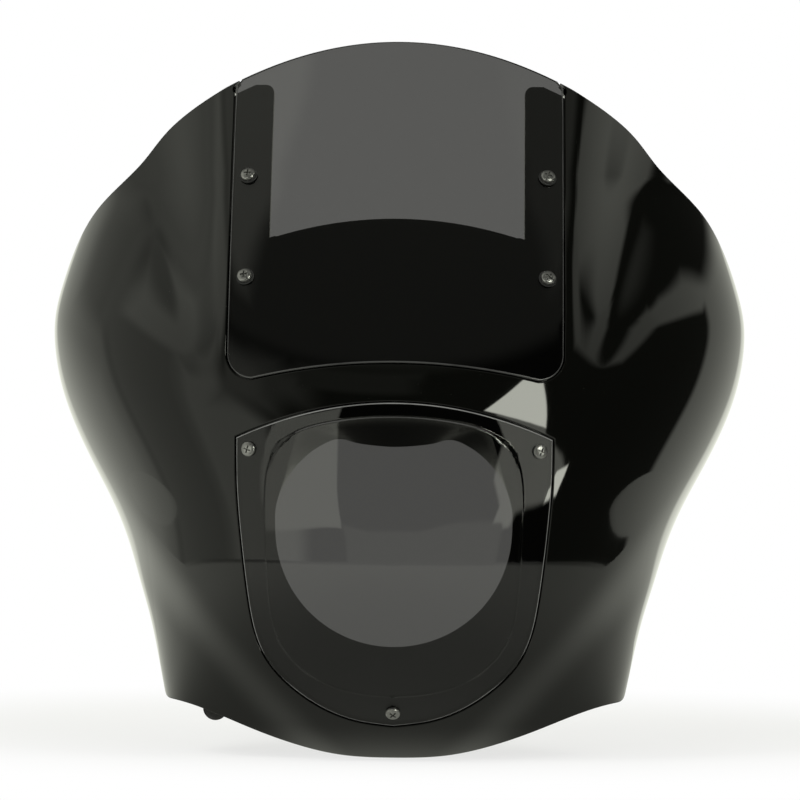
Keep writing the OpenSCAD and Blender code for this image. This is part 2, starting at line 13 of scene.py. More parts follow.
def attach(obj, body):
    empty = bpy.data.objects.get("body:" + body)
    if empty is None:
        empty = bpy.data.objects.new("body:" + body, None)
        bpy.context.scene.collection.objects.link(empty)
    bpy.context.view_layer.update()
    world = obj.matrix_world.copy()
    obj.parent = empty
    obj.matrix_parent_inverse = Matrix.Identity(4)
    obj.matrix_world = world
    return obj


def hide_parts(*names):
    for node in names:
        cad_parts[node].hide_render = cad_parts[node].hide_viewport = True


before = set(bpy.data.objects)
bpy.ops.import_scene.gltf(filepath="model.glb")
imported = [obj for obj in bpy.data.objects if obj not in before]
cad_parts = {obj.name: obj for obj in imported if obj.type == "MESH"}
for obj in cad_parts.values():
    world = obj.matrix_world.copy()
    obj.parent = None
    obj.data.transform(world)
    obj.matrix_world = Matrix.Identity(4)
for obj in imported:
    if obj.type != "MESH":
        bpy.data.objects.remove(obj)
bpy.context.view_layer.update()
MM = 0.001

# Driving sizes of the skin, as in the part
TOP_Z, LOBE_DEPTH = 435.0, 232.0
WALL, HUMP_RISE, HUMP_FLAT, WING_STEP, LIP_ROLL = 3.2, 52.0, 94.0, 14.0, 14.0
SHIELD_HALF, SHIELD_LOW_Z, SHIELD_T, SHIELD_CORNER_R = 99.5, 238.0, 3.0, 15.0
ARM_W, WINDOW_SHARE, SHIELD_RISE = 23.0, 0.516, 9.0
SHIELD_SCREW_INSET, LOW_SCREW_SHARE, HIGH_SCREW_SHARE = 10.0, 0.294, 0.654
LENS_W, LENS_TOP_Z, LENS_LOW_Z, LENS_T, LENS_BULGE, LENS_RIM_W = 186.4, 214.5, 21.5, 3.0, 5.0, 17.5
# Lens cover: crown of its middle, width of the bend as a share, rim at the top, edge round
LENS_CROWN, LENS_BEND, LENS_TOP_RIM, LENS_ROUND = 3.4, 0.022, 7.5, 0.8
LENS_BEND_POWERS = 7, 3.5
LENS_SCREW_INSET, LENS_SCREW_DROP, LENS_SCREW_RISE = 7.7, 28.0, 8.5
LAMP_Z, LAMP_Y = 139.5, 44.0
GAP, FIT_GAP, EDGE_GAP = 0.1, 0.25, 0.8
LEDGE_W, LEDGE_DROP = 26.0, 1.0
NOSE_Y = LENS_BULGE / 4 - LOBE_DEPTH / 2
SHIELD_SEAT, LENS_SEAT = SHIELD_T + GAP, LENS_T + FIT_GAP

# Curves of the skin at even heights from the chin to the top
CENTRE_Y = [85, 51.6, 28.7, 13.3, 4, 0.4, 3, 15, 34, 57, 83, 111, 140]
SIDE_Y = [108, 136, 160, 188, 214, 229, 232, 224, 213, 216, 235, 262, 290]
HUMP_SHARE = [0, 0, 0, 0, 0, 0, 0.005, 0.11, 0.36, 0.61, 0.8, 0.92, 1]
STATION_H = TOP_Z / (len(CENTRE_Y) - 1)
# Half widths of the skin's side edge at even steps from the lower corner to the shoulder
EDGE_X = [140, 145.5, 151.4, 159.4, 167.1, 177, 189.6, 201.3, 210.2, 214.8, 215.1,
          208.8, 199, 184.4, 158.5, 141.3, SHIELD_HALF + 5]
CORNER_Z, SHOULDER_Z = 33.4, 405.7
EDGE_H = (SHOULDER_Z - CORNER_Z) / (len(EDGE_X) - 1)
ARM_Z = 408.4


def knots(values):
    """Control values of a smooth curve through values at even steps."""
    n = len(values) - 1

    def at(k):
        if k < 0:
            return values[0] + k * (values[1] - values[0])
        if k > n:
            return values[n] + (k - n) * (values[n] - values[n - 1])
        return values[k]

    return np.array([at(k) - (at(k - 1) - 2 * at(k) + at(k + 1)) / 6 for k in range(-2, n + 3)])


def curve(c, t):
    t = np.asarray(t, float)
    i = np.clip(np.floor(t).astype(int), 0, len(c) - 5)
    u = t - i
    return ((1 - u) ** 3 * c[i + 1] + (3 * u ** 3 - 6 * u * u + 4) * c[i + 2]
            + (-3 * u ** 3 + 3 * u * u + 3 * u + 1) * c[i + 3] + u ** 3 * c[i + 4]) / 6


centre_c, side_c, hump_c, edge_c = (knots(v) for v in (CENTRE_Y, SIDE_Y, HUMP_SHARE, EDGE_X))


def step3(t):
    u = np.clip(t, 0, 1)
    return u * u * u * (10 - 15 * u + 6 * u * u)


def smooth_max(a, b, k):
    h = np.maximum(k - np.abs(a - b), 0) / k
    return np.maximum(a, b) + h * h * k / 4


def edge_half(z):
    return curve(edge_c, (z - CORNER_Z) / EDGE_H)


def body_half(z):
    e = edge_half(np.minimum(z, SHOULDER_Z)) / 0.998
    return np.where(z < 254, e, smooth_max(e, 190.0, 24.0))


def section(u):
    v = np.minimum(np.abs(u), 0.9995)
    return 0.5 * (1 - np.sqrt(1 - v * v)) + 0.5 * (1 - (1 - v ** 3) ** (1 / 3))


def skin_y(x, z):
    """Place of the outer skin on Y."""
    y0, h = curve(centre_c, z / STATION_H), HUMP_RISE * curve(hump_c, z / STATION_H)
    d = (curve(side_c, z / STATION_H) - y0 - h) / section(0.998)
    valley = 123 + 0.308 * (z - 229)
    fall = (np.abs(x) - HUMP_FLAT) / np.maximum(valley - HUMP_FLAT, 12)
    wing = 0.743 * (np.abs(x) - 71) - 0.669 * (z - 9)
    lip = np.maximum(22 - z, 0) / 22
    return (NOSE_Y + y0 + h * step3(fall) + d * section(x / body_half(z))
            + WING_STEP * step3((wing + 32) / 34) + LIP_ROLL * lip ** 2.2)


def skin_n(x, z):
    """Outward normal of the outer skin."""
    e = 0.05
    a = (skin_y(x + e, z) - skin_y(x - e, z)) / (2 * e)
    b = (skin_y(x, z + e) - skin_y(x, z - e)) / (2 * e)
    n = np.sqrt(1 + a * a + b * b)
    return np.stack([a / n, -1 / n, b / n], -1)


# The skin is laid out flat in s and t, two lengths that run nearly as its own surface does:
# s across from side edge to side edge, t up from the chin's edge to the top edge.
S_HALF, T_HIGH = 330.0, TOP_Z
SIDE_ANGLE = math.asin(0.998)


def rim_half(t):
    return edge_half(CORNER_Z + (SHOULDER_Z - CORNER_Z) * t / T_HIGH)


def row_z(t, u):
    k = t / T_HIGH
    low, high = TOP_Z * k, CORNER_Z + (SHOULDER_Z - CORNER_Z) * k
    v = u ** 1.35
    return low + (high - low) * ((1 - k) * v * v * (3 - 2 * v) + k * u * u)


def unrolled_to_front(st):
    st = np.asarray(st, float)
    u = np.sin(SIDE_ANGLE * st[:, 0] / S_HALF) / 0.998
    return np.stack([rim_half(st[:, 1]) * u, row_z(st[:, 1], np.abs(u))], -1)


def front_to_unrolled(xz):
    xz = np.asarray(xz, float)
    x, z = xz[:, 0], xz[:, 1]
    low, high = np.full(len(x), -30.0), np.full(len(x), T_HIGH + 60.0)
    for _ in range(44):
        mid = (low + high) / 2
        below = row_z(mid, np.minimum(np.abs(x) / rim_half(mid), 1)) < z
        low, high = np.where(below, mid, low), np.where(below, high, mid)
    u = np.clip(x / rim_half(low), -1, 1)
    return np.stack([np.arcsin(0.998 * u) / SIDE_ANGLE * S_HALF, low], -1)


def on_sheet(st, depth):
    """Points at a depth below the outer skin."""
    xz = unrolled_to_front(st)
    x, z = xz[:, 0], xz[:, 1]
    inner = np.clip(x, 0.1 - rim_half(st[:, 1]), rim_half(st[:, 1]) - 0.1)
    p = np.stack([x, skin_y(x, z), z], -1)
    return p - skin_n(inner, z) * np.reshape(depth, (-1, 1))


def sheet_normal(st, depth_at):
    """Normal of the surface that lies at depth_at(st) below the skin, towards the outside."""
    e = 0.35
    s = np.clip(st[:, 0], e - S_HALF, S_HALF - e)
    c = np.stack([s, st[:, 1]], -1)
    ds = on_sheet(c + [e, 0], depth_at(c + [e, 0])) - on_sheet(c - [e, 0], depth_at(c - [e, 0]))
    dt = on_sheet(c + [0, e], depth_at(c + [0, e])) - on_sheet(c - [0, e], depth_at(c - [0, e]))
    n = np.cross(ds, dt)
    return n / np.linalg.norm(n, axis=1)[:, None]


def resample(points, step, closed=True):
    """A polyline through the same shape with about even steps, corners kept."""
    p = np.asarray(points, float)
    q = np.vstack([p, p[:1]]) if closed else p
    out = []
    for a, b in zip(q[:-1], q[1:]):
        n = max(1, int(math.ceil(np.linalg.norm(b - a) / step)))
        out += [a + (b - a) * k / n for k in range(n)]
    if not closed:
        out.append(q[-1])
    return np.array(out)


def inward(loop, closed=True):
    """Mitred directions to the left of a polyline, which is inside for one that runs anticlockwise."""
    p = np.asarray(loop, float)
    before, after = np.roll(p, 1, 0), np.roll(p, -1, 0)
    if not closed:
        before[0], after[-1] = p[0] - (p[1] - p[0]), p[-1] + (p[-1] - p[-2])
    a, b = p - before, after - p
    a /= np.linalg.norm(a, axis=1)[:, None]
    b /= np.linalg.norm(b, axis=1)[:, None]
    na, nb = np.stack([-a[:, 1], a[:, 0]], -1), np.stack([-b[:, 1], b[:, 0]], -1)
    return (na + nb) / np.maximum(1 + (na * nb).sum(1), 0.35)[:, None]


def inside(points, loop):
    """Whether points lie in a closed polygon."""
    x, y = points[:, 0], points[:, 1]
    odd = np.zeros(len(points), bool)
    for (x0, y0), (x1, y1) in zip(loop, np.roll(loop, -1, 0)):
        if y0 != y1:
            cross = ((y0 > y) != (y1 > y)) & (x < (x1 - x0) * (y - y0) / (y1 - y0) + x0)
            odd ^= cross
    return odd


def distance(points, loop):
    """Distance of points from a dense polyline."""
    tree = kdtree.KDTree(len(loop))
    for k, p in enumerate(loop):
        tree.insert((p[0], p[1], 0), k)
    tree.balance()
    return np.array([tree.find((p[0], p[1], 0))[2] for p in points])


class Shell:
    """Collects faces, joins their corners and keeps a true normal for each corner."""

    def __init__(self):
        self.points, self.index, self.faces, self.normals, self.cut = [], {}, [], [], []

    def corner(self, p):
        key = (round(p[0] * 500), round(p[1] * 500), round(p[2] * 500))
        if key not in self.index:
            self.index[key] = len(self.points)
            self.points.append(p)
        return self.index[key]

    def add(self, points, normals, faces):
        ids = [self.corner(p) for p in points]
        for f in faces:
            corners = [(ids[i], i) for k, i in enumerate(f) if ids[i] != ids[f[k - 1]]]
            if len({c for c, _ in corners}) < 3:
                continue
            v = [self.points[c] for c, _ in corners]
            n = np.cross(v[1] - v[0], v[2] - v[0])
            if len(v) == 4:
                n = n + np.cross(v[2] - v[0], v[3] - v[0])
            if n @ sum(normals[i] for _, i in corners) < 0:
                corners.reverse()
            self.faces.append([c for c, _ in corners])
            self.normals += [normals[i] for _, i in corners]

    def strip(self, rows, row_normals, closed=True, cut=False):
        """Quads between rows of points. A cut edge takes the piece's second material."""
        n, start = len(rows[0]), len(self.faces)
        last = n if closed else n - 1
        faces = [(r * n + k, r * n + (k + 1) % n, (r + 1) * n + (k + 1) % n, (r + 1) * n + k)
                 for r in range(len(rows) - 1) for k in range(last)]
        self.add(np.vstack(rows), np.vstack(row_normals), faces)
        if cut:
            self.cut += range(start, len(self.faces))

    def fill(self, loops, spacing, depth_at, outward=1, steps=None):
        """Triangles over the unrolled area inside the first loop and outside the others. Points
        in rows along the steps of its depth keep those even."""
        low, high = loops[0].min(0), loops[0].max(0)
        s = np.arange(math.floor(low[0] / spacing), math.ceil(high[0] / spacing) + 1) * spacing
        t = np.arange(math.floor(low[1] / spacing), math.ceil(high[1] / spacing) + 1) * spacing
        grid = np.stack(np.meshgrid(s, t), -1).reshape(-1, 2)
        if steps is not None:
            grid = np.vstack([grid[distance(grid, steps) > 0.4 * spacing], steps])
        keep = inside(grid, loops[0])
        for hole in loops[1:]:
            keep &= ~inside(grid, hole)
        grid = grid[keep]
        grid = grid[distance(grid, np.vstack([resample(q, spacing / 2) for q in loops]))
                    > 0.55 * spacing]
        edges, coords, start = [], [], 0
        for q in loops:
            edges += [(start + k, start + (k + 1) % len(q)) for k in range(len(q))]
            coords += [Vector(p) for p in q]
            start += len(q)
        coords += [Vector(p) for p in grid]
        out = geometry.delaunay_2d_cdt(coords, edges, [], 0, 1e-5)
        st = np.array([[v.x, v.y] for v in out[0]])
        faces = np.array([tuple(f) for f in out[2]])
        middle = st[faces].mean(1)
        keep = inside(middle, loops[0])
        for hole in loops[1:]:
            keep &= ~inside(middle, hole)
        self.add(on_sheet(st, depth_at(st)), outward * sheet_normal(st, depth_at),
                 [tuple(f) for f in faces[keep]])

    def mesh(self, name):
        me = bpy.data.meshes.new(name)
        me.from_pydata([tuple(Vector(p) * MM) for p in self.points], [], self.faces)
        me.polygons.foreach_set("use_smooth", [True] * len(me.polygons))
        for k in self.cut:
            me.polygons[k].material_index = 1
        me.normals_split_custom_set([tuple(n) for n in self.normals])
        return me


def piece(name, mesh, *materials):
    ob = bpy.data.objects.new(name, mesh)
    bpy.context.scene.collection.objects.link(ob)
    for material in materials:
        ob.data.materials.append(material)
    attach(ob, "root")
    return ob


def flat(depth):
    return lambda st: np.full(len(st), float(depth))


class Edge:
    """The edge of a sheet along a loop in the unrolled plan, with its directions in space."""

    def __init__(self, loop, depth, closed=True):
        self.loop, self.d = loop, inward(loop, closed)
        self.depth = np.broadcast_to(depth, len(loop)).astype(float)
        xz, rim = unrolled_to_front(loop), rim_half(loop[:, 1]) - 0.1
        self.n = skin_n(np.clip(xz[:, 0], -rim, rim), xz[:, 1])
        e = on_sheet(loop - 0.4 * self.d, self.depth) - on_sheet(loop + 0.4 * self.d, self.depth)
        e -= self.n * (e * self.n).sum(1)[:, None]
        self.e = e / np.linalg.norm(e, axis=1)[:, None]

    def round(self, r, side=1):
        """Rows from r inside the loop at this depth, over a rounded edge, down into the wall."""
        r = np.broadcast_to(r, len(self.loop)).astype(float)
        rows, normals = [], []
        for a in (0, 22.5, 45, 67.5, 90):
            c, s = math.cos(math.radians(a)), math.sin(math.radians(a))
            rows.append(on_sheet(self.loop + self.d * (r * (1 - s))[:, None],
                                 self.depth + side * r * (1 - c)))
            normals.append(side * self.n * c + self.e * s)
        return rows, normals

    def inset(self, r):
        return self.loop + self.d * np.reshape(np.broadcast_to(r, len(self.loop)), (-1, 1))

    def at(self, depth):
        return on_sheet(self.loop, np.broadcast_to(depth, len(self.loop)))


# Front-view outlines

def both_sides(half):
    """A closed anticlockwise loop from its right half, which runs from the bottom to the top."""
    half = np.asarray(half, float)
    left = half[::-1] * [-1, 1]
    return np.array([p for k, p in enumerate(np.vstack([half, left]))
                     if k < len(half) or p[0] < -1e-6])


def shield_half_outline(grow):
    """Right half of the windshield's outline, from the middle of its lower edge to far above it."""
    w, r = SHIELD_HALF, SHIELD_CORNER_R
    low = [(x, SHIELD_LOW_Z - SHIELD_RISE * (x / 80) ** 2) for x in np.linspace(0, w - r, 40)]
    centre = (w - r, low[-1][1] + r)
    arc = [(centre[0] + r * math.cos(a), centre[1] + r * math.sin(a))
           for a in np.linspace(-math.pi / 2, 0, 16)]
    half = np.array(low[:-1] + arc + [(w, 460.0)])
    return half - inward(half, False) * grow


def window_edge():
    """Right half of the clear window and the arm's top, up to the windshield pocket's side."""
    w, r = SHIELD_HALF - ARM_W, 5.0
    low_z = SHIELD_LOW_Z + (ARM_Z - SHIELD_LOW_Z) * WINDOW_SHARE
    low = [(x, low_z - 12.6 * (x / w) ** 2) for x in np.linspace(0, w, 40)]
    arc = [(w + r - r * math.cos(a), ARM_Z - r + r * math.sin(a))
           for a in np.linspace(0, math.pi / 2, 8)]
    return np.array(low + arc + [(SHIELD_HALF - 12, ARM_Z), (SHIELD_HALF + EDGE_GAP, ARM_Z - 6)])


LENS_CORNER_Z = LENS_TOP_Z - 21.3
LENS_TURN = 5
lens_x_c = knots([v * LENS_W / 186.4 for v in
                  (0, 21.5, 39.9, 53.6, 64.8, 73, 79.5, 84.4, 88.2, 91, 93, 93.2)])
lens_z_c = knots([LENS_LOW_Z + (v - 21.2) * (LENS_CORNER_Z - LENS_LOW_Z) / 172 for v in
                  (21.2, 24, 31, 39.5, 48.8, 58.5, 70, 87, 114, 140, 166, 193.2)])


def lens_edge(k):
    return np.stack([np.maximum(curve(lens_x_c, k), 0), curve(lens_z_c, k)], -1)


def lens_outline(grow):
    side = lens_edge(np.linspace(0, 11, 90))
    side[0] = (0, LENS_LOW_Z)
    u = np.linspace(1, 0, 40)[1:]
    top = np.stack([u * LENS_W / 2, LENS_TOP_Z - (LENS_TOP_Z - LENS_CORNER_Z) * u * u], -1)
    loop = both_sides(np.vstack([side, top]))
    return loop - inward(loop) * grow


def smooth_loop(points, n):
    """A closed smooth curve through points."""
    p = np.asarray(points, float)
    t = np.arange(n) * len(p) / n
    i, u = np.floor(t).astype(int), (t - np.floor(t))[:, None]
    a, b, c, d = (p[(i + k) % len(p)] for k in (-1, 0, 1, 2))
    return b + 0.5 * u * (c - a + u * (2 * a - 5 * b + 4 * c - d + u * (3 * (b - c) + d - a)))


def lamp_loop(upper):
    half = [(71 * math.sin(math.radians(a)), -71 * math.cos(math.radians(a)))
            for a in range(0, 91, 10)] + upper
    loop = half + [(-x, z) for x, z in half[-2:0:-1]]
    return smooth_loop(loop, 180)


hood_front = lamp_loop([(70.5, 13), (65.5, 30), (61, 46), (57, 57), (50, 62), (36, 65),
                        (18, 67), (0, 67.5)])
hood_rear = lamp_loop([(69, 17), (61, 33), (51, 44), (40, 51), (32, 53), (22, 50.6),
                       (11, 49.2), (0, 48.6)])


def grown(loop, d):
    return loop * (1 + d / np.linalg.norm(loop, axis=1)[:, None])


# The skin

shield_pocket = both_sides(shield_half_outline(EDGE_GAP))


# Where the inner side's step begins outside a pocket, and how wide it is
STEP_START, STEP_W = 2.4, 5.0


def back_depth(st):
    """Depth of the skin's inner side: the wall, and more behind the windshield's pocket."""
    xz = unrolled_to_front(st)
    d = distance(xz, resample(shield_pocket, 1.0))
    d = np.where(inside(xz, shield_pocket), -d, d)
    lens = lens_outline(EDGE_GAP)
    e = distance(xz, resample(lens, 1.0))
    e = np.where(inside(xz, lens), -e, e)
    return (WALL + SHIELD_SEAT * (1 - step3((d - STEP_START) / STEP_W))
            + LENS_SEAT * (1 - step3((e - STEP_START) / STEP_W)))


def step_points(outline):
    """Points in rows along the step of the inner side round an outline, where they lie evenly."""
    line = resample(outline, 1.4)
    out = inward(line)
    out *= 1 - 2 * np.mean(inside(line + out, line)).round()
    away = np.linspace(STEP_START - 1, STEP_START + STEP_W + 1, 8)
    rows = np.vstack([line + out * d for d in away])
    even = np.abs(distance(rows, line) - np.repeat(away, len(line))) < 0.3
    rows = rows[even & (rows[:, 1] < ARM_Z - 4)]
    return front_to_unrolled(rows[np.abs(rows[:, 0]) < body_half(rows[:, 1]) - 2])


def recess_depth(st):
    """Depth of the ledge under the windshield, with its shallow recess."""
    xz = unrolled_to_front(st)
    w = SHIELD_HALF - LEDGE_W
    low = SHIELD_LOW_Z + 10 - 8 * (xz[:, 0] / w) ** 2
    d = np.minimum(w - np.abs(xz[:, 0]), xz[:, 1] - low)
    return SHIELD_SEAT + LEDGE_DROP * step3(d / 1.6)


def corner_arc(before, corner, after, along, up, n=7):
    """A rounded corner between two straight stretches, that starts and ends so far from it."""
    a = along * (before - corner) / np.linalg.norm(before - corner)
    b = up * (after - corner) / np.linalg.norm(after - corner)
    w = np.linspace(0, math.pi / 2, n)
    return np.array([corner + a + b - b * math.cos(v) - a * math.sin(v) for v in w])


def skin_paths():
    """Stretches of the skin's right half in the unrolled plan."""
    step = 2.0
    corner, shoulder = np.array([S_HALF, 0.0]), np.array([S_HALF, T_HIGH])
    arms = front_to_unrolled(resample(window_edge(), step, False))
    junction = arms[-1]
    pocket = front_to_unrolled(resample(shield_half_outline(EDGE_GAP), step, False))
    pocket = np.vstack([pocket[pocket[:, 1] < junction[1] - 0.5 * step], [junction]])
    top = front_to_unrolled([(SHIELD_HALF + EDGE_GAP, 407.9)])[0]
    top = np.array([top[0], T_HIGH])
    arc = corner_arc(np.zeros(2), corner, shoulder, 38.0, 6.0, 22)
    arc2 = corner_arc(corner, shoulder, top, 2.5, 2.5)
    rim = np.vstack([resample([(0, 0), arc[0]], 3.0, False)[:-1], arc[:-1],
                     resample([arc[-1], arc2[0]], 3.0, False)[:-1], arc2[:-1],
                     resample([arc2[-1], top, junction], step, False)])
    return rim, pocket, arms


def skin_mesh():
    shell = Shell()
    rim, pocket, arms = skin_paths()
    n_rim, n_pocket = len(rim), len(pocket)
    edge_r, seat = 0.7, SHIELD_SEAT

    # Outer skin, with the windshield's pocket left out of its top
    outer = both_sides(np.vstack([rim, pocket[-2::-1]]))
    lens = front_to_unrolled(resample(lens_outline(EDGE_GAP), 2.0))
    skin_edge, lens_edge_out = Edge(outer, 0.0), Edge(lens[::-1], 0.0)
    shell.fill([skin_edge.inset(edge_r), lens_edge_out.inset(edge_r)[::-1]], 3.0, flat(0))

    # Columns of the free edge and of the pocket's wall
    free = np.r_[np.arange(n_rim - 1, -1, -1), np.arange(len(outer) - 1, len(outer) - n_rim, -1)]
    walled = np.arange(n_rim - 1, len(outer) - n_rim + 2)
    rows, normals = skin_edge.round(edge_r)
    rows.append(skin_edge.at(seat))
    normals.append(skin_edge.e)
    shell.strip([r[walled] for r in rows], [q[walled] for q in normals], False)

    # Ledge under the windshield
    ledge = both_sides(np.vstack([pocket, arms[-2::-1]]))
    on_pocket = np.zeros(len(ledge), bool)
    on_pocket[:n_pocket] = True
    on_pocket[len(ledge) - n_pocket + 1:] = True
    depth = recess_depth(ledge)
    ledge_edge = Edge(ledge, depth)
    ledge_r = np.where(on_pocket, 0, 0.8)
    shell.fill([ledge_edge.inset(ledge_r)], 3.0, recess_depth)

    # Inner side, and the edges that run through to it
    back = both_sides(np.vstack([rim, arms[-2::-1]]))
    deep = back_depth(back)
    back_edge = Edge(back, deep)
    back_r = 0.7
    rows_b, normals_b = back_edge.round(back_r, -1)
    around = np.r_[np.arange(n_rim - 1, -1, -1), np.arange(len(back) - 1, len(back) - n_rim, -1)]
    middle = WALL / 2 + (deep - WALL) / seat * (seat - WALL / 2)
    shell.strip([r[free] for r in rows[:-1]] + [back_edge.at(middle)[around]]
                + [r[around] for r in rows_b[::-1]],
                [q[free] for q in normals[:-1]] + [back_edge.e[around]]
                + [q[around] for q in normals_b[::-1]], False)
    window_b = np.arange(n_rim - 1, len(back) - n_rim + 2)
    window_f = np.arange(n_pocket - 1, len(ledge) - n_pocket + 2)
    rows_l, normals_l = ledge_edge.round(ledge_r)
    shell.strip([r[window_f] for r in rows_l] + [r[window_b] for r in rows_b[::-1]],
                [q[window_f] for q in normals_l] + [q[window_b] for q in normals_b[::-1]], False)

    # Lens pocket, its ledge and the hood round the lamp opening
    rows, normals = lens_edge_out.round(edge_r)
    shell.strip(rows + [lens_edge_out.at(LENS_SEAT)], normals + [lens_edge_out.e])
    front = front_to_unrolled(hood_front + [0, LAMP_Z])
    lip = Edge(front[::-1], LENS_SEAT)
    lip_r = 1.2
    shell.fill([lens, lip.inset(lip_r)[::-1]], 3.0, flat(LENS_SEAT))
    hood(shell, lip, lip_r)

    hole = front_to_unrolled(grown(hood_front, WALL + 1.5) + [0, LAMP_Z])
    steps = np.vstack([step_points(shield_pocket), step_points(lens_outline(EDGE_GAP))])
    shell.fill([back_edge.inset(back_r), hole], 4.0, back_depth, -1, steps)
    bosses(shell)
    return shell.mesh("cowl_skin")


def hood(shell, lip, lip_r):
    """Ring that runs back from the lamp opening, with a rounded rear lip."""
    rows, normals = lip.round(lip_r)
    front = rows[-1]
    y_front = front[:, 1]
    rear = np.stack([hood_rear[::-1, 0], np.maximum(NOSE_Y + LAMP_Y, y_front + 2.5),
                     hood_rear[::-1, 1] + LAMP_Z], -1)
    out_front = on_sheet(front_to_unrolled(grown(hood_front, WALL + 1.5) + [0, LAMP_Z])[::-1],
                         WALL + LENS_SEAT)
    out_rear = np.stack([grown(hood_rear, WALL)[::-1, 0], rear[:, 1],
                         grown(hood_rear, WALL)[::-1, 1] + LAMP_Z], -1)
    along = rear - front
    along /= np.linalg.norm(along, axis=1)[:, None]
    ahead = np.roll(rear, -1, 0) - np.roll(rear, 1, 0)
    inner_n = np.cross(ahead, along)
    inner_n /= np.linalg.norm(inner_n, axis=1)[:, None]
    centre = np.array([0, 0, LAMP_Z]) - rear
    centre[:, 1] = 0
    inner_n *= np.sign((inner_n * centre).sum(1))[:, None]
    body = [front + (rear - front) * k for k in (0.35, 0.7, 1.0)]
    rows += body
    normals += [inner_n] * 3
    half, c = WALL / 2, (rear + out_rear) / 2
    for a in (30, 60, 90, 120, 150, 180):
        q = math.radians(a)
        n = inner_n * math.cos(q) + np.array([0, 1, 0]) * math.sin(q)
        w = np.linalg.norm(rear - out_rear, axis=1)[:, None] / 2
        rows.append(c + (rear - c) * math.cos(q) + np.array([0, 1, 0]) * w * math.sin(q))
        normals.append(n)
    rows += [out_rear + (out_front - out_rear) * k for k in (0.4, 0.8, 1.0)]
    normals += [-inner_n] * 3
    shell.strip(rows, normals)


def frame_at(n):
    """A turn that takes +Z to a direction."""
    return Vector((0, 0, 1)).rotation_difference(Vector(n)).to_matrix()


def peg(shell, start, direction, r, h, chamfer=0.6, sides=40):
    """A round boss with a chamfered end."""
    turn = np.array(frame_at(direction))
    rings = [(r, 0), (r, h - chamfer), (r - chamfer, h), (0, h)]
    a = np.arange(sides) * 2 * math.pi / sides
    rows, normals = [], []
    tilt = [(1, 0), (1, 0), (0.7, 0.7), (0, 1)]
    for (rr, hh), (c, s) in zip(rings, tilt):
        rows.append(start + np.stack([rr * np.cos(a), rr * np.sin(a), hh + 0 * a], -1) @ turn.T)
        normals.append(np.stack([c * np.cos(a), c * np.sin(a), s + 0 * a], -1) @ turn.T)
    shell.strip(rows[:2], normals[:2])
    shell.strip(rows[1:3], [normals[2], normals[2]])
    shell.strip(rows[2:], [normals[3], normals[3]])


SHIELD_SCREWS = [(s * (SHIELD_HALF - SHIELD_SCREW_INSET),
                  SHIELD_LOW_Z + (ARM_Z - SHIELD_LOW_Z) * k)
                 for k in (LOW_SCREW_SHARE, HIGH_SCREW_SHARE) for s in (-1, 1)]
LENS_SCREWS = [(-(LENS_W / 2 - LENS_SCREW_INSET), LENS_TOP_Z - LENS_SCREW_DROP),
               (LENS_W / 2 - LENS_SCREW_INSET, LENS_TOP_Z - LENS_SCREW_DROP),
               (0.0, LENS_LOW_Z + LENS_SCREW_RISE)]
SEAT_H = 1.0


def skin_point(x, z, depth=0.0):
    n = skin_n(np.array([x]), np.array([z]))[0]
    return np.array([x, float(skin_y(x, z)), z]) - n * depth, n


def bosses(shell):
    for x, z in SHIELD_SCREWS:
        p, n = skin_point(x, z, SHIELD_SEAT + WALL - 1)
        peg(shell, p, -n, 7.5, 1 + SEAT_H)
    for x, z in LENS_SCREWS:
        p, n = skin_point(x, z, LENS_T + GAP + WALL - 1)
        peg(shell, p, -n, 7.0, 1 + SEAT_H)
    a = np.arange(48) * 2 * math.pi / 48
    c, s, o, one = np.cos(a), np.sin(a), 0 * a, 0 * a + 1
    for side in (-1, 1):
        for x, z, face in LUGS:
            def ring(r, y):
                return np.stack([side * x + r * c, o + y, z + r * s], -1)

            root = ring(8.5, 0)
            root[:, 1] = skin_y(root[:, 0], root[:, 2]) + WALL * 0.9
            neck = ring(6.5, 0)
            neck[:, 1] = skin_y(neck[:, 0], neck[:, 2]) + WALL + 3.5
            out, back = np.stack([c, o, s], -1), np.stack([o, one, o], -1)
            slope = (out + back) * 0.7071
            shell.strip([root, neck], [slope, out])
            shell.strip([neck, ring(6.5, face - 0.6)], [out, out])
            shell.strip([ring(6.5, face - 0.6), ring(5.9, face)], [slope, slope])
            shell.strip([ring(5.9, face), ring(2.7, face)], [back, back])
            shell.strip([ring(2.7, face), ring(2.7, face - 9)], [-out, -out])
            shell.strip([ring(2.7, face - 9), ring(0, face - 9)], [back, back])


# Place of each lug boss, and how far back it reaches
LUGS = ((107.8, 52, -9.1), (118, 181, -58.1))


def windshield_mesh():
    shell = Shell()
    half = front_to_unrolled(resample(shield_half_outline(0), 2.0, False))
    half = half[half[:, 1] < T_HIGH - 1.0]
    top_s = front_to_unrolled([(SHIELD_HALF, 407.9)])[0][0]
    arc = corner_arc(half[-1], np.array([top_s, T_HIGH]), np.array([0, T_HIGH]), 1.5, 1.5)
    half = half[half[:, 1] < T_HIGH - 3]
    half = np.vstack([half, arc, resample([arc[-1], (0, T_HIGH)], 2.0, False)[1:]])
    loop = both_sides(half)
    r = 0.9
    front, back = Edge(loop, 0.0), Edge(loop, SHIELD_T)
    shell.fill([front.inset(r)], 3.5, flat(0))
    shell.fill([back.inset(r)], 3.5, flat(SHIELD_T), -1)
    rows, normals = front.round(r)
    rows_b, normals_b = back.round(r, -1)
    shell.strip(rows, normals, cut=True)
    shell.strip([rows[-1]] + rows_b[::-1], [normals[-1]] + normals_b[::-1])
    return shell.mesh("windshield_sheet")


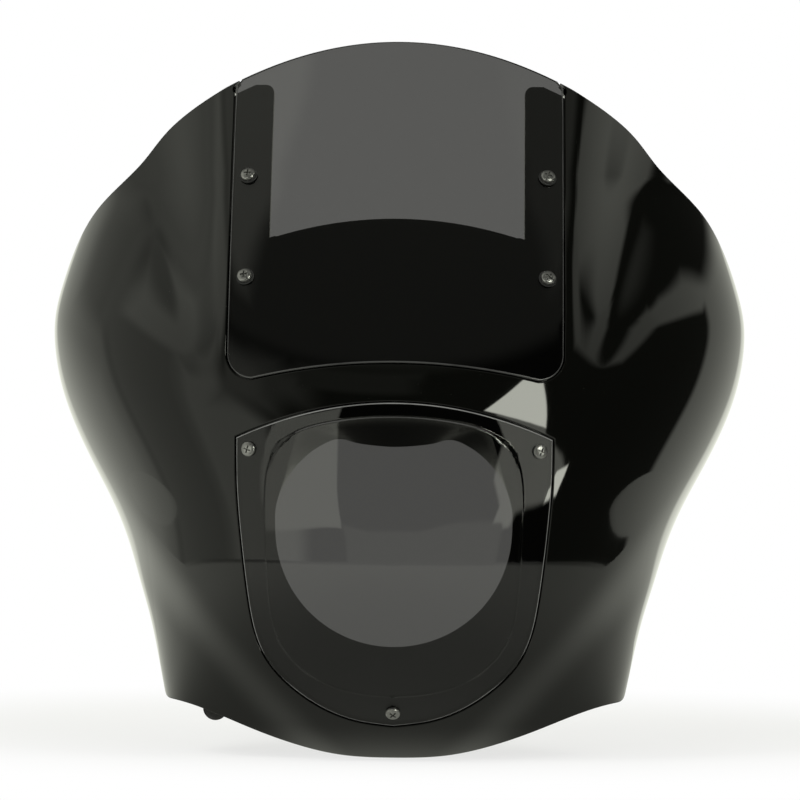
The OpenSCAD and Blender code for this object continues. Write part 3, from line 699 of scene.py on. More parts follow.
def lens_mesh():
    """Lens cover on its own grid, with lines close on both sides of the bend."""
    bend_u = 1 - LENS_RIM_W / (LENS_W / 2)
    low_t, high_t = (1 - 2 * w / (LENS_TOP_Z - LENS_LOW_Z) for w in (LENS_RIM_W, LENS_TOP_RIM))
    close = 1 - np.r_[np.linspace(0, 0.05, 18), np.linspace(0.05, 1, 48)[1:]][::-1]
    u = np.r_[bend_u * close, np.linspace(bend_u, 1, 10)[1:]]
    low_v, high_v = (np.r_[b * close, np.linspace(b, 1, 10)[1:]] for b in (low_t, high_t))
    u, v = np.r_[-u[:0:-1], u], np.r_[-low_v[:0:-1], high_v]
    uu, vv = np.meshgrid(u, v)
    a, t = np.abs(uu), (vv + 1) / 2
    rim = lens_edge((LENS_TURN + (11 - LENS_TURN) * t).ravel()).reshape(t.shape + (2,))
    low = lens_edge((LENS_TURN * a).ravel()).reshape(t.shape + (2,))
    e1 = lens_edge(np.array([float(LENS_TURN)]))[0]
    x = rim[..., 0] * ((1 - t) * low[..., 0] / e1[0] + t * a)
    q = (1 - t) * (low[..., 1] - LENS_LOW_Z) / (e1[1] - LENS_LOW_Z) + t * a * a
    mid = LENS_LOW_Z + (LENS_TOP_Z - LENS_LOW_Z) * t
    z = mid + (rim[..., 1] - mid) * q
    power = np.where(vv > 0, *LENS_BEND_POWERS)
    r = ((a / bend_u) ** power + (np.abs(vv) / np.where(vv > 0, high_t, low_t)) ** power) ** (1 / power)
    bulge = (LENS_BULGE - LENS_CROWN) * step3((1 - r) / LENS_BEND) + LENS_CROWN * (
        1 - np.minimum(r, 1) ** 2) ** 2
    x = x * np.sign(uu)
    n = skin_n(x, z)
    front = np.stack([x, skin_y(x, z), z], -1) + n * bulge[..., None]
    m, w = front.shape[:2]

    def normals(p):
        out = np.cross(np.gradient(p, axis=1), np.gradient(p, axis=0))
        out /= np.maximum(np.linalg.norm(out, axis=2), 1e-12)[..., None]
        return out * np.sign((out * n).sum(-1))[..., None]

    fn, inner = normals(front), front - n * LENS_T
    rows = np.r_[np.zeros(w - 1, int), np.arange(m - 1), np.full(w - 1, m - 1), np.arange(m - 1, 0, -1)]
    cols = np.r_[np.arange(w - 1), np.full(m - 1, w - 1), np.arange(w - 1, 0, -1), np.zeros(m - 1, int)]
    brim, bn, bi = front[rows, cols], fn[rows, cols], inner[rows, cols]
    ahead = np.roll(brim, -1, 0) - np.roll(brim, 1, 0)
    out = np.cross(ahead, bn)
    out /= np.linalg.norm(out, axis=1)[:, None]
    out *= np.sign((out * (brim - brim.mean(0))).sum(1))[:, None]
    front[rows, cols] -= out * LENS_ROUND
    shell = Shell()
    faces = [(r0 * w + c, r0 * w + c + 1, (r0 + 1) * w + c + 1, (r0 + 1) * w + c)
             for r0 in range(m - 1) for c in range(w - 1)]
    shell.add(front.reshape(-1, 3), fn.reshape(-1, 3), faces)
    shell.add(inner.reshape(-1, 3), -fn.reshape(-1, 3), faces)
    turns = np.linspace(0, math.pi / 2, 6)
    edge = [brim - (bn * (1 - math.cos(k)) + out * (1 - math.sin(k))) * LENS_ROUND for k in turns]
    facing = [bn * math.cos(k) + out * math.sin(k) for k in turns]
    shell.strip(edge, facing, cut=True)
    shell.strip([edge[-1], bi], [out, out])
    return shell.mesh("lens_cover_sheet")


# Screws, seated on the skin by geometry nodes

def head_mesh(name, r, h, length, thread_r, recess, washer=None):
    """Pan head with a cross recess, on a threaded shank. The underside of the head is at z = 0."""
    half, wing, wall = 0.5, recess, 0.14
    outer = np.linspace(wing + wall, r, 7)
    lines = np.r_[0, half - wall, half, np.linspace(half, wing, 5)[1:], outer]
    lines = np.r_[-lines[:0:-1], lines] / r
    gx, gy = np.meshgrid(lines, lines)
    x = r * gx * np.sqrt(1 - gy * gy / 2)
    y = r * gy * np.sqrt(1 - gx * gx / 2)
    q = np.hypot(x, y) / r
    dome = h * (0.45 + 0.55 * np.sqrt(np.maximum(1 - q ** 2.6, 0)))
    ax, ay = np.abs(gx) * r, np.abs(gy) * r
    in_cross = ((ax < half - 0.01) & (ay < wing + 0.01)) | ((ay < half - 0.01) & (ax < wing + 0.01))
    deep = 0.62 * h * (1 - 0.45 * np.maximum(ax, ay) / wing)
    top = np.where(in_cross, dome - deep, dome)
    bm = bmesh.new()
    grid = [[bm.verts.new((a, b, c)) for a, b, c in zip(*row)] for row in zip(x, y, top)]
    n = len(grid)
    for i in range(n - 1):
        for j in range(n - 1):
            bm.faces.new((grid[i][j], grid[i][j + 1], grid[i + 1][j + 1], grid[i + 1][j]))
    rim = (grid[0][:-1] + [row[-1] for row in grid[:-1]] + grid[-1][:0:-1]
           + [row[0] for row in grid[:0:-1]])
    rings = [(1.0, 0.25), (0.97, 0.0)]
    shank = [(thread_r, 0.0)]
    pitch, z = 0.8, -0.6
    while z > 0.8 - length:
        shank += [(thread_r, z), (thread_r * 0.86, z - pitch / 2)]
        z -= pitch
    shank += [(thread_r * 0.8, -length)]
    last = rim
    for k, z0 in rings:
        ring = [bm.verts.new((v.co.x * k, v.co.y * k, z0)) for v in rim]
        for i in range(len(rim)):
            j = (i + 1) % len(rim)
            bm.faces.new((last[i], last[j], ring[j], ring[i]))
        last = ring
    for rr, z0 in shank:
        ring = [bm.verts.new((v.co.x * rr / r, v.co.y * rr / r, z0)) for v in rim]
        for i in range(len(rim)):
            j = (i + 1) % len(rim)
            bm.faces.new((last[i], last[j], ring[j], ring[i]))
        last = ring
    bm.faces.new(last)
    bmesh.ops.recalc_face_normals(bm, faces=bm.faces)
    bmesh.ops.scale(bm, vec=(MM, MM, MM), verts=bm.verts)
    me = bpy.data.meshes.new(name)
    bm.to_mesh(me)
    bm.free()
    me.polygons.foreach_set("use_smooth", [True] * len(me.polygons))
    me.set_sharp_from_angle(angle=math.radians(38))
    return me


def seating_tree():
    """Geometry nodes that seat one fastener on each point, along its facing, with its own spin."""
    tree = bpy.data.node_groups.new("seated_fasteners", "GeometryNodeTree")
    face = tree.interface
    face.new_socket("Geometry", in_out="INPUT", socket_type="NodeSocketGeometry")
    face.new_socket("Fastener", in_out="INPUT", socket_type="NodeSocketObject")
    face.new_socket("Finish", in_out="INPUT", socket_type="NodeSocketMaterial")
    seed = face.new_socket("Spin Seed", in_out="INPUT", socket_type="NodeSocketInt")
    seed.default_value = 7
    face.new_socket("Geometry", in_out="OUTPUT", socket_type="NodeSocketGeometry")
    new, link = tree.nodes.new, tree.links.new
    given, out = new("NodeGroupInput"), new("NodeGroupOutput")
    facing = new("GeometryNodeInputNamedAttribute")
    facing.data_type = "FLOAT_VECTOR"
    facing.inputs["Name"].default_value = "facing"
    turn = new("FunctionNodeAlignRotationToVector")
    turn.axis = "Z"
    link(facing.outputs["Attribute"], turn.inputs["Vector"])
    spin = new("FunctionNodeRandomValue")
    spin.data_type = "FLOAT"
    spin.inputs[3].default_value = math.pi / 2
    link(given.outputs["Spin Seed"], spin.inputs["Seed"])
    about = new("FunctionNodeAxisAngleToRotation")
    about.inputs["Axis"].default_value = (0, 0, 1)
    link(spin.outputs[1], about.inputs["Angle"])
    both = new("FunctionNodeRotateRotation")
    both.rotation_space = "LOCAL"
    link(turn.outputs[0], both.inputs["Rotation"])
    link(about.outputs[0], both.inputs["Rotate By"])
    shape = new("GeometryNodeObjectInfo")
    link(given.outputs["Fastener"], shape.inputs["Object"])
    seat = new("GeometryNodeInstanceOnPoints")
    link(given.outputs["Geometry"], seat.inputs["Points"])
    link(shape.outputs["Geometry"], seat.inputs["Instance"])
    link(both.outputs[0], seat.inputs["Rotation"])
    real, finish = new("GeometryNodeRealizeInstances"), new("GeometryNodeSetMaterial")
    link(seat.outputs[0], real.inputs[0])
    link(real.outputs[0], finish.inputs["Geometry"])
    link(given.outputs["Finish"], finish.inputs["Material"])
    link(finish.outputs[0], out.inputs[0])
    return tree


def seated(name, tree, fastener, places, material, seed):
    """One piece made of a fastener seated at each place, a point and the way it faces."""
    me = bpy.data.meshes.new(name + "_seats")
    me.from_pydata([tuple(Vector(p) * MM) for p, _ in places], [], [])
    facing = me.attributes.new("facing", "FLOAT_VECTOR", "POINT")
    facing.data.foreach_set("vector", np.array([n for _, n in places], float).ravel())
    ob = bpy.data.objects.new(name, me)
    bpy.context.scene.collection.objects.link(ob)
    pattern = bpy.data.objects.new(name + "_pattern", fastener)
    bpy.context.scene.collection.objects.link(pattern)
    mod = ob.modifiers.new("seats", "NODES")
    mod.node_group = tree
    given = {item.name: item.identifier for item in tree.interface.items_tree
             if item.in_out == "INPUT"}
    mod[given["Fastener"]] = pattern
    mod[given["Finish"]] = material
    mod[given["Spin Seed"]] = seed
    baked = bpy.data.meshes.new_from_object(ob.evaluated_get(bpy.context.evaluated_depsgraph_get()))
    ob.modifiers.clear()
    ob.data = baked
    ob.data.name = name
    bpy.data.objects.remove(pattern)
    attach(ob, "root")
    return ob


# Materials

def group(name, inputs, output, kind="NodeSocketFloat"):
    """An empty shader group with named number inputs and one output."""
    tree = bpy.data.node_groups.new(name, "ShaderNodeTree")
    for label, value in inputs:
        item = tree.interface.new_socket(label, in_out="INPUT", socket_type="NodeSocketFloat")
        item.default_value = value
    tree.interface.new_socket(output, in_out="OUTPUT", socket_type=kind)
    given, out = tree.nodes.new("NodeGroupInput"), tree.nodes.new("NodeGroupOutput")
    place = tree.nodes.new("ShaderNodeTexCoord")
    return tree, given, out, place.outputs["Object"]


def maths(tree, kind, a, b=None, c=None, clamp=False):
    node = tree.nodes.new("ShaderNodeMath")
    node.operation, node.use_clamp = kind, clamp
    for k, v in enumerate((a, b, c)):
        if v is None:
            continue
        if isinstance(v, (int, float)):
            node.inputs[k].default_value = v
        else:
            tree.links.new(v, node.inputs[k])
    return node.outputs[0]


def noise(tree, place, scale, detail=3.0, rough=0.5):
    node = tree.nodes.new("ShaderNodeTexNoise")
    tree.links.new(place, node.inputs["Vector"])
    if isinstance(scale, (int, float)):
        node.inputs["Scale"].default_value = scale
    else:
        tree.links.new(scale, node.inputs["Scale"])
    node.inputs["Detail"].default_value = detail
    node.inputs["Roughness"].default_value = rough
    return node.outputs["Fac"]


def ramp(tree, value, low, high):
    node = tree.nodes.new("ShaderNodeMapRange")
    node.interpolation_type = "SMOOTHSTEP"
    tree.links.new(value, node.inputs["Value"])
    for label, v in (("From Min", low), ("From Max", high)):
        if isinstance(v, (int, float)):
            node.inputs[label].default_value = v
        else:
            tree.links.new(v, node.inputs[label])
    return node.outputs["Result"]


def settled_dust():
    """Specks of dust, more of them where the surface faces up."""
    tree, given, out, place = group("settled_dust", (("Scale", 900), ("Cover", 0.3)), "Mask")
    speck = noise(tree, place, given.outputs["Scale"], 2.0)
    patch = noise(tree, place, 14.0, 3.0)
    geo = tree.nodes.new("ShaderNodeNewGeometry")
    split = tree.nodes.new("ShaderNodeSeparateXYZ")
    tree.links.new(geo.outputs["Normal"], split.inputs[0])
    up = ramp(tree, split.outputs["Z"], -0.3, 0.9)
    share = maths(tree, "MULTIPLY_ADD", patch, 0.25, 0.05)
    edge = maths(tree, "SUBTRACT", 0.82, maths(tree, "MULTIPLY", given.outputs["Cover"], share))
    top = maths(tree, "ADD", edge, 0.03)
    fleck = ramp(tree, speck, edge, top)
    faced = maths(tree, "MULTIPLY_ADD", up, 0.7, 0.3)
    tree.links.new(maths(tree, "MULTIPLY", fleck, faced), out.inputs[0])
    return tree


def handling_marks():
    """Soft smears and fine rubbed lines left by hands and cloths."""
    tree, given, out, place = group("handling_marks", (("Scale", 9), ("Lines", 0.3)), "Mask")
    smear = ramp(tree, noise(tree, place, given.outputs["Scale"], 4.0, 0.6), 0.45, 0.75)
    stretch = tree.nodes.new("ShaderNodeMapping")
    stretch.inputs["Scale"].default_value = (30, 30, 900)
    stretch.inputs["Rotation"].default_value = (0.2, 0.5, 0.1)
    tree.links.new(place, stretch.inputs["Vector"])
    line = ramp(tree, noise(tree, stretch.outputs[0], 1.0, 2.0), 0.66, 0.74)
    both = maths(tree, "ADD", smear, maths(tree, "MULTIPLY", line, given.outputs["Lines"]), clamp=True)
    tree.links.new(both, out.inputs[0])
    return tree


def moulded_ripple():
    """Faint ripple of a moulded or lacquered surface."""
    tree, given, out, place = group("moulded_ripple", (("Scale", 260), ("Height", 0.1)), "Normal",
                                    "NodeSocketVector")
    bump = tree.nodes.new("ShaderNodeBump")
    bump.inputs["Distance"].default_value = 0.0002
    tree.links.new(given.outputs["Height"], bump.inputs["Strength"])
    tree.links.new(noise(tree, place, given.outputs["Scale"], 2.0), bump.inputs["Height"])
    tree.links.new(bump.outputs[0], out.inputs[0])
    return tree


def edge_wear():
    """Edges rubbed bright, broken up by noise."""
    tree, given, out, place = group("edge_wear", (("Amount", 0.5), ("Scale", 160)), "Mask")
    geo = tree.nodes.new("ShaderNodeNewGeometry")
    grain = maths(tree, "SUBTRACT", noise(tree, place, given.outputs["Scale"]), 0.5)
    rub = maths(tree, "MULTIPLY_ADD", grain, 0.05, geo.outputs["Pointiness"])
    mask = ramp(tree, rub, 0.53, 0.6)
    tree.links.new(maths(tree, "MULTIPLY", mask, given.outputs["Amount"]), out.inputs[0])
    return tree


GROUPS = {}


def use(tree, maker, **values):
    """A shared effect in a material, with its named inputs set."""
    if maker not in GROUPS:
        GROUPS[maker] = maker()
    node = tree.nodes.new("ShaderNodeGroup")
    node.node_tree = GROUPS[maker]
    for label, v in values.items():
        node.inputs[label.replace("_", " ")].default_value = v
    return node.outputs[0]


def finish(name):
    """A material with one Principled shader."""
    m = bpy.data.materials.new(name)
    m.use_nodes = True
    tree = m.node_tree
    tree.nodes.clear()
    out, p = tree.nodes.new("ShaderNodeOutputMaterial"), tree.nodes.new("ShaderNodeBsdfPrincipled")
    tree.links.new(p.outputs[0], out.inputs["Surface"])
    return m, tree, p


def between(tree, fac, a, b):
    """A colour between two, by a mask."""
    node = tree.nodes.new("ShaderNodeMix")
    node.data_type = "RGBA"
    tree.links.new(fac, node.inputs["Factor"])
    node.inputs[6].default_value = (*a, 1)
    node.inputs[7].default_value = (*b, 1)
    return node.outputs[2]


def level(tree, mask, low, high):
    return maths(tree, "ADD", maths(tree, "MULTIPLY", mask, high - low), low)


def gloss_black():
    m, tree, p = finish("gloss_black_skin")
    dust = use(tree, settled_dust, Scale=900, Cover=0.35)
    marks = use(tree, handling_marks, Scale=9, Lines=0.2)
    tree.links.new(between(tree, dust, (0.0015, 0.0016, 0.0012), (0.045, 0.044, 0.04)),
                   p.inputs["Base Color"])
    tree.links.new(level(tree, marks, 0.035, 0.06), p.inputs["Roughness"])
    tree.links.new(use(tree, moulded_ripple, Scale=70, Height=0.02), p.inputs["Normal"])
    p.inputs["IOR"].default_value = 1.5
    return m


def smoked(name, tint):
    m, tree, p = finish(name)
    marks = use(tree, handling_marks, Scale=13, Lines=0.25)
    p.inputs["Base Color"].default_value = (*tint, 1)
    tree.links.new(level(tree, marks, 0.0, 0.03), p.inputs["Roughness"])
    p.inputs["Transmission Weight"].default_value = 1.0
    p.inputs["IOR"].default_value = 1.49
    return m


def painted_edge_highlight(name, tone):
    """Edge of a smoked sheet in an opaque tone paler than its faces: a painted highlight along the
    edge, with handling marks.
    """
    m, tree, p = finish(name)
    marks = use(tree, handling_marks, Scale=40, Lines=0.3)
    tree.links.new(between(tree, marks, (tone,) * 3, (tone / 2,) * 3), p.inputs["Base Color"])
    p.inputs["Roughness"].default_value = 0.15
    return m


def dark_screw():
    m, tree, p = finish("dark_screw_steel")
    wear = use(tree, edge_wear, Amount=0.7, Scale=900)
    dust = use(tree, handling_marks, Scale=300, Lines=0.3)
    tree.links.new(between(tree, wear, (0.3, 0.3, 0.29), (0.6, 0.6, 0.58)),
                   p.inputs["Base Color"])
    p.inputs["Metallic"].default_value = 0.9
    tree.links.new(level(tree, dust, 0.28, 0.45), p.inputs["Roughness"])
    tree.links.new(use(tree, moulded_ripple, Scale=2200, Height=0.15), p.inputs["Normal"])
    return m


def bracket_steel():
    m, tree, p = finish("satin_black_bracket")
    wear = use(tree, edge_wear, Amount=0.5, Scale=220)
    marks = use(tree, handling_marks, Scale=30, Lines=0.4)
    tree.links.new(between(tree, wear, (0.02, 0.02, 0.02), (0.16, 0.155, 0.15)),
                   p.inputs["Base Color"])
    tree.links.new(level(tree, marks, 0.38, 0.52), p.inputs["Roughness"])
    tree.links.new(use(tree, moulded_ripple, Scale=900, Height=0.3), p.inputs["Normal"])
    return m


def zinc_plate():
    m, tree, p = finish("zinc_plate")
    marks = use(tree, handling_marks, Scale=120, Lines=0.5)
    wear = use(tree, edge_wear, Amount=0.6, Scale=500)
    tree.links.new(between(tree, wear, (0.42, 0.42, 0.4), (0.66, 0.66, 0.64)),
                   p.inputs["Base Color"])
    p.inputs["Metallic"].default_value = 1.0
    tree.links.new(level(tree, marks, 0.3, 0.48), p.inputs["Roughness"])
    tree.links.new(use(tree, moulded_ripple, Scale=1800, Height=0.12), p.inputs["Normal"])
    return m


def black_rubber(name, tone):
    m, tree, p = finish(name)
    marks = use(tree, handling_marks, Scale=60, Lines=0.0)
    tree.links.new(between(tree, marks, (tone, tone, tone), (tone * 1.7, tone * 1.7, tone * 1.65)),
                   p.inputs["Base Color"])
    tree.links.new(level(tree, marks, 0.62, 0.8), p.inputs["Roughness"])
    tree.links.new(use(tree, moulded_ripple, Scale=1600, Height=0.5), p.inputs["Normal"])
    p.inputs["Specular IOR Level"].default_value = 0.35
    return m


def bevelled(name, node, width, material):
    """A CAD piece's own shape, joined up and with its sharp edges eased."""
    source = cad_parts[node]
    me = source.data.copy()
    bm = bmesh.new()
    bm.from_mesh(me)
    bmesh.ops.remove_doubles(bm, verts=bm.verts, dist=2e-6)
    bmesh.ops.dissolve_limit(bm, angle_limit=math.radians(0.6), verts=bm.verts, edges=bm.edges)
    bm.to_mesh(me)
    bm.free()
    for key in [a.name for a in me.attributes if a.name == "custom_normal"]:
        me.attributes.remove(me.attributes[key])
    ob = bpy.data.objects.new(name, me)
    bpy.context.scene.collection.objects.link(ob)
    me.polygons.foreach_set("use_smooth", [True] * len(me.polygons))
    ease = ob.modifiers.new("eased_edges", "BEVEL")
    ease.width, ease.segments, ease.limit_method = width * MM, 2, "ANGLE"
    ease.angle_limit, ease.harden_normals = math.radians(34), True
    ease.use_clamp_overlap = True
    baked = bpy.data.meshes.new_from_object(ob.evaluated_get(bpy.context.evaluated_depsgraph_get()))
    ob.modifiers.clear()
    ob.data = baked
    ob.data.materials.clear()
    ob.data.materials.append(material)
    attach(ob, "root")
    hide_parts(node)
    return ob


skin_finish = gloss_black()
screen_finish = smoked("smoked_windshield", (0.1, 0.1, 0.096))
cover_finish = smoked("smoked_lens_cover", (0.07, 0.07, 0.067))
# The sheets' rounded edges take an opaque tone paler than their smoked faces, a painted highlight line.
screen_edge = painted_edge_highlight("windshield_edge", 0.06)
cover_edge = painted_edge_highlight("lens_cover_edge", 0.2)
screw_finish = dark_screw()
bracket_finish = bracket_steel()
zinc_finish = zinc_plate()
washer_finish = black_rubber("black_washer", 0.02)
liner_finish = black_rubber("liner_rubber", 0.03)

skin = piece("moulded_skin", skin_mesh(), skin_finish)
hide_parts("cowl_shell")
screen = piece("windshield_sheet", windshield_mesh(), screen_finish, screen_edge)
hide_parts("windshield")
cover = piece("lens_cover_sheet", lens_mesh(), cover_finish, cover_edge)
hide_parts("headlight_lens")

tree = seating_tree()
WASHER_H = 1.0
screen_places = [skin_point(x, z, -WASHER_H - 2 * GAP) for x, z in SHIELD_SCREWS]
cover_places = [skin_point(x, z, -GAP) for x, z in LENS_SCREWS]
stack = WALL + SHIELD_SEAT + SEAT_H + GAP + WASHER_H + GAP
screen_length = stack + WASHER_H + 2 * GAP + 5.5
cover_length = WALL + LENS_SEAT + SEAT_H + 2 * GAP + 4.7
screen_screws = seated("windshield_pan_screws", tree,
                       head_mesh("windshield_screw", 4.4, 3.0, screen_length, 2.5, 2.2),
                       screen_places, screw_finish, 3)
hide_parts("windshield_screws")
cover_screws = seated("lens_pan_screws", tree,
                      head_mesh("lens_screw", 4.4, 2.6, cover_length, 2.0, 2.2),
                      cover_places, screw_finish, 5)
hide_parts("lens_screws")

for node, width, material, slot in (
        ("windshield_washers", 0.25, washer_finish, "seal_rubber"),
        ("windshield_backing_washers", 0.2, zinc_finish, "zinc"),
        ("windshield_nuts", 0.3, zinc_finish, "zinc"), ("lens_nuts", 0.3, zinc_finish, "zinc"),
        ("left_bracket", 0.5, bracket_finish, "bracket"),
        ("right_bracket", 0.5, bracket_finish, "bracket"),
        ("bracket_screws", 0.3, screw_finish, "dark_screw"),
        ("clamp_bolts", 0.3, zinc_finish, "zinc"), ("clamp_nuts", 0.3, zinc_finish, "zinc"),
        ("left_lower_clamp", 0.4, bracket_finish, "bracket"),
        ("left_upper_clamp", 0.4, bracket_finish, "bracket"),
        ("right_lower_clamp", 0.4, bracket_finish, "bracket"),
        ("right_upper_clamp", 0.4, bracket_finish, "bracket"),
        ("left_lower_liner", 0.3, liner_finish, "liner_rubber"),
        ("left_upper_liner", 0.3, liner_finish, "liner_rubber"),
        ("right_lower_liner", 0.3, liner_finish, "liner_rubber"),
        ("right_upper_liner", 0.3, liner_finish, "liner_rubber")):
    eased = bevelled("eased_" + node, node, width, material)


# Studio

TABLE_R, TABLE_Y = 605.0, 305.0
ROOM_TINT = (1.0, 1.02, 0.9)


def floor_finish():
    """Pale table top. Plain white to the camera and through glass, with the object's shadow kept. To
    gloss it glows as a painted reflection of a lit table, with a painted shadow near the object's foot.
    """
    m, tree, p = finish("pale_table")
    p.inputs["Base Color"].default_value = (0.9, 0.9, 0.89, 1)
    p.inputs["Roughness"].default_value = 0.9
    p.inputs["Specular IOR Level"].default_value = 0.1
    path, geo = tree.nodes.new("ShaderNodeLightPath"), tree.nodes.new("ShaderNodeNewGeometry")
    split = tree.nodes.new("ShaderNodeSeparateXYZ")
    tree.links.new(geo.outputs["Position"], split.inputs[0])

    def away(y):
        gap = tree.nodes.new("ShaderNodeVectorMath")
        gap.operation = "DISTANCE"
        tree.links.new(geo.outputs["Position"], gap.inputs[0])
        gap.inputs[1].default_value = (0, y * MM, 0)
        return gap.outputs["Value"]

    from_middle = away(TABLE_Y)
    # For gloss the table glows as a painted reflection of a lit table: paler towards -X than +X,
    # darkened near the object's foot as a painted shadow, and darker along the rim of its front half.
    rim = maths(tree, "MULTIPLY", ramp(tree, from_middle, (TABLE_R - 12) * MM, (TABLE_R - 4) * MM),
                ramp(tree, split.outputs["Y"], 0.2, -0.1))
    outer = level(tree, ramp(tree, split.outputs["X"], 0.0, 0.4), 0.4, 0.18)
    tone = maths(tree, "MULTIPLY_ADD", ramp(tree, away(20), 0.12, 0.42), outer, 0.38)
    tone = maths(tree, "MULTIPLY", tone, level(tree, rim, 1.0, 0.45))
    clear = maths(tree, "MAXIMUM", path.outputs["Is Camera Ray"], path.outputs["Is Transmission Ray"])
    shown = level(tree, ramp(tree, from_middle, 0.2, 0.56), 0.65, 1.0)
    share = maths(tree, "MAXIMUM", path.outputs["Is Glossy Ray"],
                  maths(tree, "MULTIPLY", clear, shown))
    glow, mix = tree.nodes.new("ShaderNodeEmission"), tree.nodes.new("ShaderNodeMixShader")
    tree.links.new(maths(tree, "MAXIMUM", clear, tone), glow.inputs["Strength"])
    tree.links.new(between(tree, clear, ROOM_TINT, (1, 1, 1)), glow.inputs["Color"])
    tree.links.new(share, mix.inputs[0])
    tree.links.new(p.outputs[0], mix.inputs[1])
    tree.links.new(glow.outputs[0], mix.inputs[2])
    out = [n for n in tree.nodes if n.type == "OUTPUT_MATERIAL"][0]
    tree.links.new(mix.outputs[0], out.inputs["Surface"])
    return m


def table_top():
    turn = np.linspace(0, 2 * math.pi, 129)[:-1]
    me = bpy.data.meshes.new("table_top")
    me.from_pydata([(TABLE_R * math.cos(w) * MM, (TABLE_Y + TABLE_R * math.sin(w)) * MM, -0.5 * MM)
                    for w in turn], [], [tuple(range(len(turn)))])
    ob = bpy.data.objects.new("table_top", me)
    bpy.context.scene.collection.objects.link(ob)
    me.materials.append(floor_finish())


def area_lamp(name, at, aim, size, radiance):
    """A soft rectangular lamp. Gloss shows the room's panels in its place."""
    lamp = bpy.data.lights.new(name, "AREA")
    lamp.shape, lamp.size, lamp.size_y = "RECTANGLE", size[0] * MM, size[1] * MM
    lamp.energy = radiance * math.pi * size[0] * size[1] * MM * MM
    ob = bpy.data.objects.new(name, lamp)
    bpy.context.scene.collection.objects.link(ob)
    ob.location = Vector(at) * MM
    ob.rotation_euler = (Vector(aim) - Vector(at)).to_track_quat("-Z", "Y").to_euler()
    ob.visible_glossy = ob.visible_transmission = False


# What gloss sees round the object, each panel over those before it: its brightness, how soft its
# edge is, and its corners in degrees, turned to the right of the front and above the table
ROOM = (
    ("ceiling", 0.13, 10, ((-66, 36), (66, 36), (66, 95), (-66, 95))),
    ("left_high_ceiling", 0.5, 10, ((-112, 50), (-47, 50), (-47, 92), (-112, 92))),
    ("right_high_ceiling", 0.22, 10, ((47, 50), (112, 50), (112, 92), (47, 92))),
    ("left_high_wall", 0.4, 14, ((-136, 17), (-103, 17), (-103, 42), (-136, 42))),
    ("left_high_window", 0.75, 14, ((-108, 24), (-66, 24), (-66, 48), (-108, 48))),
    ("left_paper", 0.6, 8, ((-196, -80), (-112, -80), (-112, 50), (-196, -8))),
    ("left_paper_top", 0.42, 14, ((-137, 14), (-112, 14), (-112, 52), (-137, 34))),
    ("left_paper_low", 0.75, 14, ((-196, -80), (-122, -80), (-122, -3), (-196, -3))),
    ("left_wall", 0.47, 10, ((-113, -80), (-74, -80), (-74, 28), (-113, 28))),
    ("left_near_wall", 0.75, 10, ((-76, -80), (-58, -80), (-40, -14), (-40, 3), (-53, 12), (-76, 26))),
    ("shelf_left", 0.36, 14, ((-60, 8), (-36, 8), (-36, 30), (-60, 30))),
    ("shelf_middle_left", 0.22, 14, ((-39, 15), (-24, 15), (-24, 30), (-39, 30))),
    ("shelf_middle", 0.11, 4, ((-27, 24), (6, 24), (6, 34), (-27, 34))),
    ("shelf_right", 0.03, 8, ((4, 14), (38, 14), (38, 30), (4, 30))),
    ("right_wall", 0.03, 4, ((50, -80), (123, -80), (123, 24), (99, 38), (50, 38))),
    ("right_paper", 0.55, 5, ((123, -80), (196, -80), (196, -2), (125, 24))),
    ("right_high_window", 0.55, 4, ((92, 33), (122, 19), (130, 21), (117, 34), (104, 40), (92, 40))),
    ("right_high_window_end", 0.5, 5, ((72, 26), (78, 24), (97, 32), (97, 41), (86, 39))),
    ("room_floor", 0.3, 2, ((-22, -80), (48, -80), (48, -20), (-22, -20))),
    ("left_softbox", 1.18, 1, ((-36, 5), (-56, -22), (-23, -21.5), (-14, 16))),
    ("right_softbox", 1.5, 1,
     ((28, 9.5), (38, -10), (48, -21.5), (54, -21), (49, -1), (43.5, 20), (37, 24))),
    ("right_softbox_foot", 1.5, 1, ((47, -1), (44, -20.5), (50, -20.5), (66, -19), (66, -16.5))),
    ("right_softbox_top", 9.5, 0.7, ((24, 13), (36.5, 24.5), (43.5, 20), (49, -1))),
    ("right_softbox_corner", 9.5, 0.7, ((61.5, -19.5), (67, -19), (66, -15), (62, -15))),
    ("dark_block", 0.025, 1.5, ((50, -19.5), (50, -26), (68, -26), (68, -19.5))),
    ("left_backdrop", 1.0, 4, ((-200, -80), (-163, -80), (-163, 13), (-200, 13))),
    ("right_backdrop", 1.0, 4, ((163, -80), (200, -80), (200, 13), (163, 13))),
)


def panel_mask(tree, turn, rise, corners, soft):
    """A mask that is 1 inside a convex panel."""
    c = np.array(corners, float)
    ahead = np.roll(c, -1, 0) - c
    spin = math.copysign(1, np.sum(c[:, 0] * np.roll(c[:, 1], -1) - c[:, 1] * np.roll(c[:, 0], -1)))
    least = None
    for (px, py), (ex, ey) in zip(c, ahead):
        k = spin / math.hypot(ex, ey)
        part = maths(tree, "MULTIPLY_ADD", turn, -ey * k, (px * ey - py * ex) * k)
        part = maths(tree, "MULTIPLY_ADD", rise, ex * k, part)
        least = part if least is None else maths(tree, "MINIMUM", least, part)
    return ramp(tree, least, -soft / 2, soft / 2)


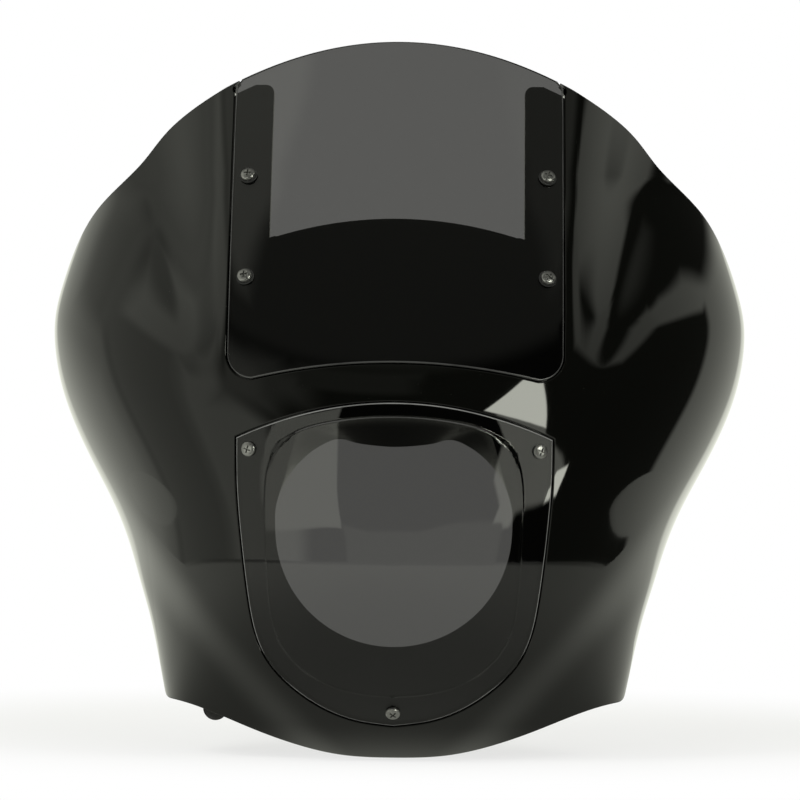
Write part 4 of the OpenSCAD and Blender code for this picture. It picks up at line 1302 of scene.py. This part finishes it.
def studio_world():
    """White for the camera and through glass, the room's panels for gloss, and an even fill light."""
    world = bpy.data.worlds.new("studio")
    world.use_nodes = True
    bpy.context.scene.world = world
    tree = world.node_tree
    tree.nodes.clear()
    out = tree.nodes.new("ShaderNodeOutputWorld")
    way = tree.nodes.new("ShaderNodeTexCoord")
    split = tree.nodes.new("ShaderNodeSeparateXYZ")
    tree.links.new(way.outputs["Generated"], split.inputs[0])
    x, y, z = split.outputs
    degrees = 180 / math.pi
    turn = maths(tree, "MULTIPLY", maths(tree, "ARCTAN2", x, maths(tree, "MULTIPLY", y, -1.0)), degrees)
    rise = maths(tree, "MULTIPLY", maths(tree, "ARCSINE", z), degrees)
    room = 0.025
    for _, bright, soft, corners in ROOM:
        mask = panel_mask(tree, turn, rise, corners, soft)
        kept = maths(tree, "MULTIPLY", maths(tree, "SUBTRACT", 1.0, mask), room)
        room = maths(tree, "MULTIPLY_ADD", mask, bright, kept)
    path = tree.nodes.new("ShaderNodeLightPath")
    straight = maths(tree, "LESS_THAN", path.outputs["Glossy Depth"], 0.5)
    clear = maths(tree, "MAXIMUM", path.outputs["Is Camera Ray"],
                  maths(tree, "MULTIPLY", path.outputs["Is Transmission Ray"], straight))
    gloss = maths(tree, "MAXIMUM", path.outputs["Is Glossy Ray"], path.outputs["Is Transmission Ray"])
    seen = maths(tree, "MAXIMUM", clear, maths(tree, "MULTIPLY", gloss, room))
    fill = maths(tree, "MULTIPLY", path.outputs["Is Diffuse Ray"], 0.6)
    light = maths(tree, "MAXIMUM", seen, fill)
    back = tree.nodes.new("ShaderNodeBackground")
    tree.links.new(between(tree, clear, ROOM_TINT, (1, 1, 1)), back.inputs["Color"])
    tree.links.new(light, back.inputs["Strength"])
    tree.links.new(back.outputs[0], out.inputs["Surface"])


table_top()
studio_world()
area_lamp("key_softbox", (-1600, -1700, 1900), (0, 0, 200), (1100, 1100), 9.0)
area_lamp("fill_softbox", (1700, -1300, 1500), (0, 0, 200), (1100, 1100), 5.0)

camera = bpy.data.objects.new("camera", bpy.data.cameras.new("camera"))
bpy.context.scene.collection.objects.link(camera)
camera.location = Vector((40, -3314.75, 216)) * MM
aim = (Vector((1, 85.25, 216)) * MM - camera.location).to_track_quat("-Z", "Y")
camera.rotation_euler = (aim @ Quaternion((0, 0, 1), math.radians(0.5))).to_euler()
camera.data.angle = math.radians(8.359)
camera.data.clip_end = 50
bpy.context.scene.camera = camera
bpy.context.scene.view_settings.view_transform = "Standard"
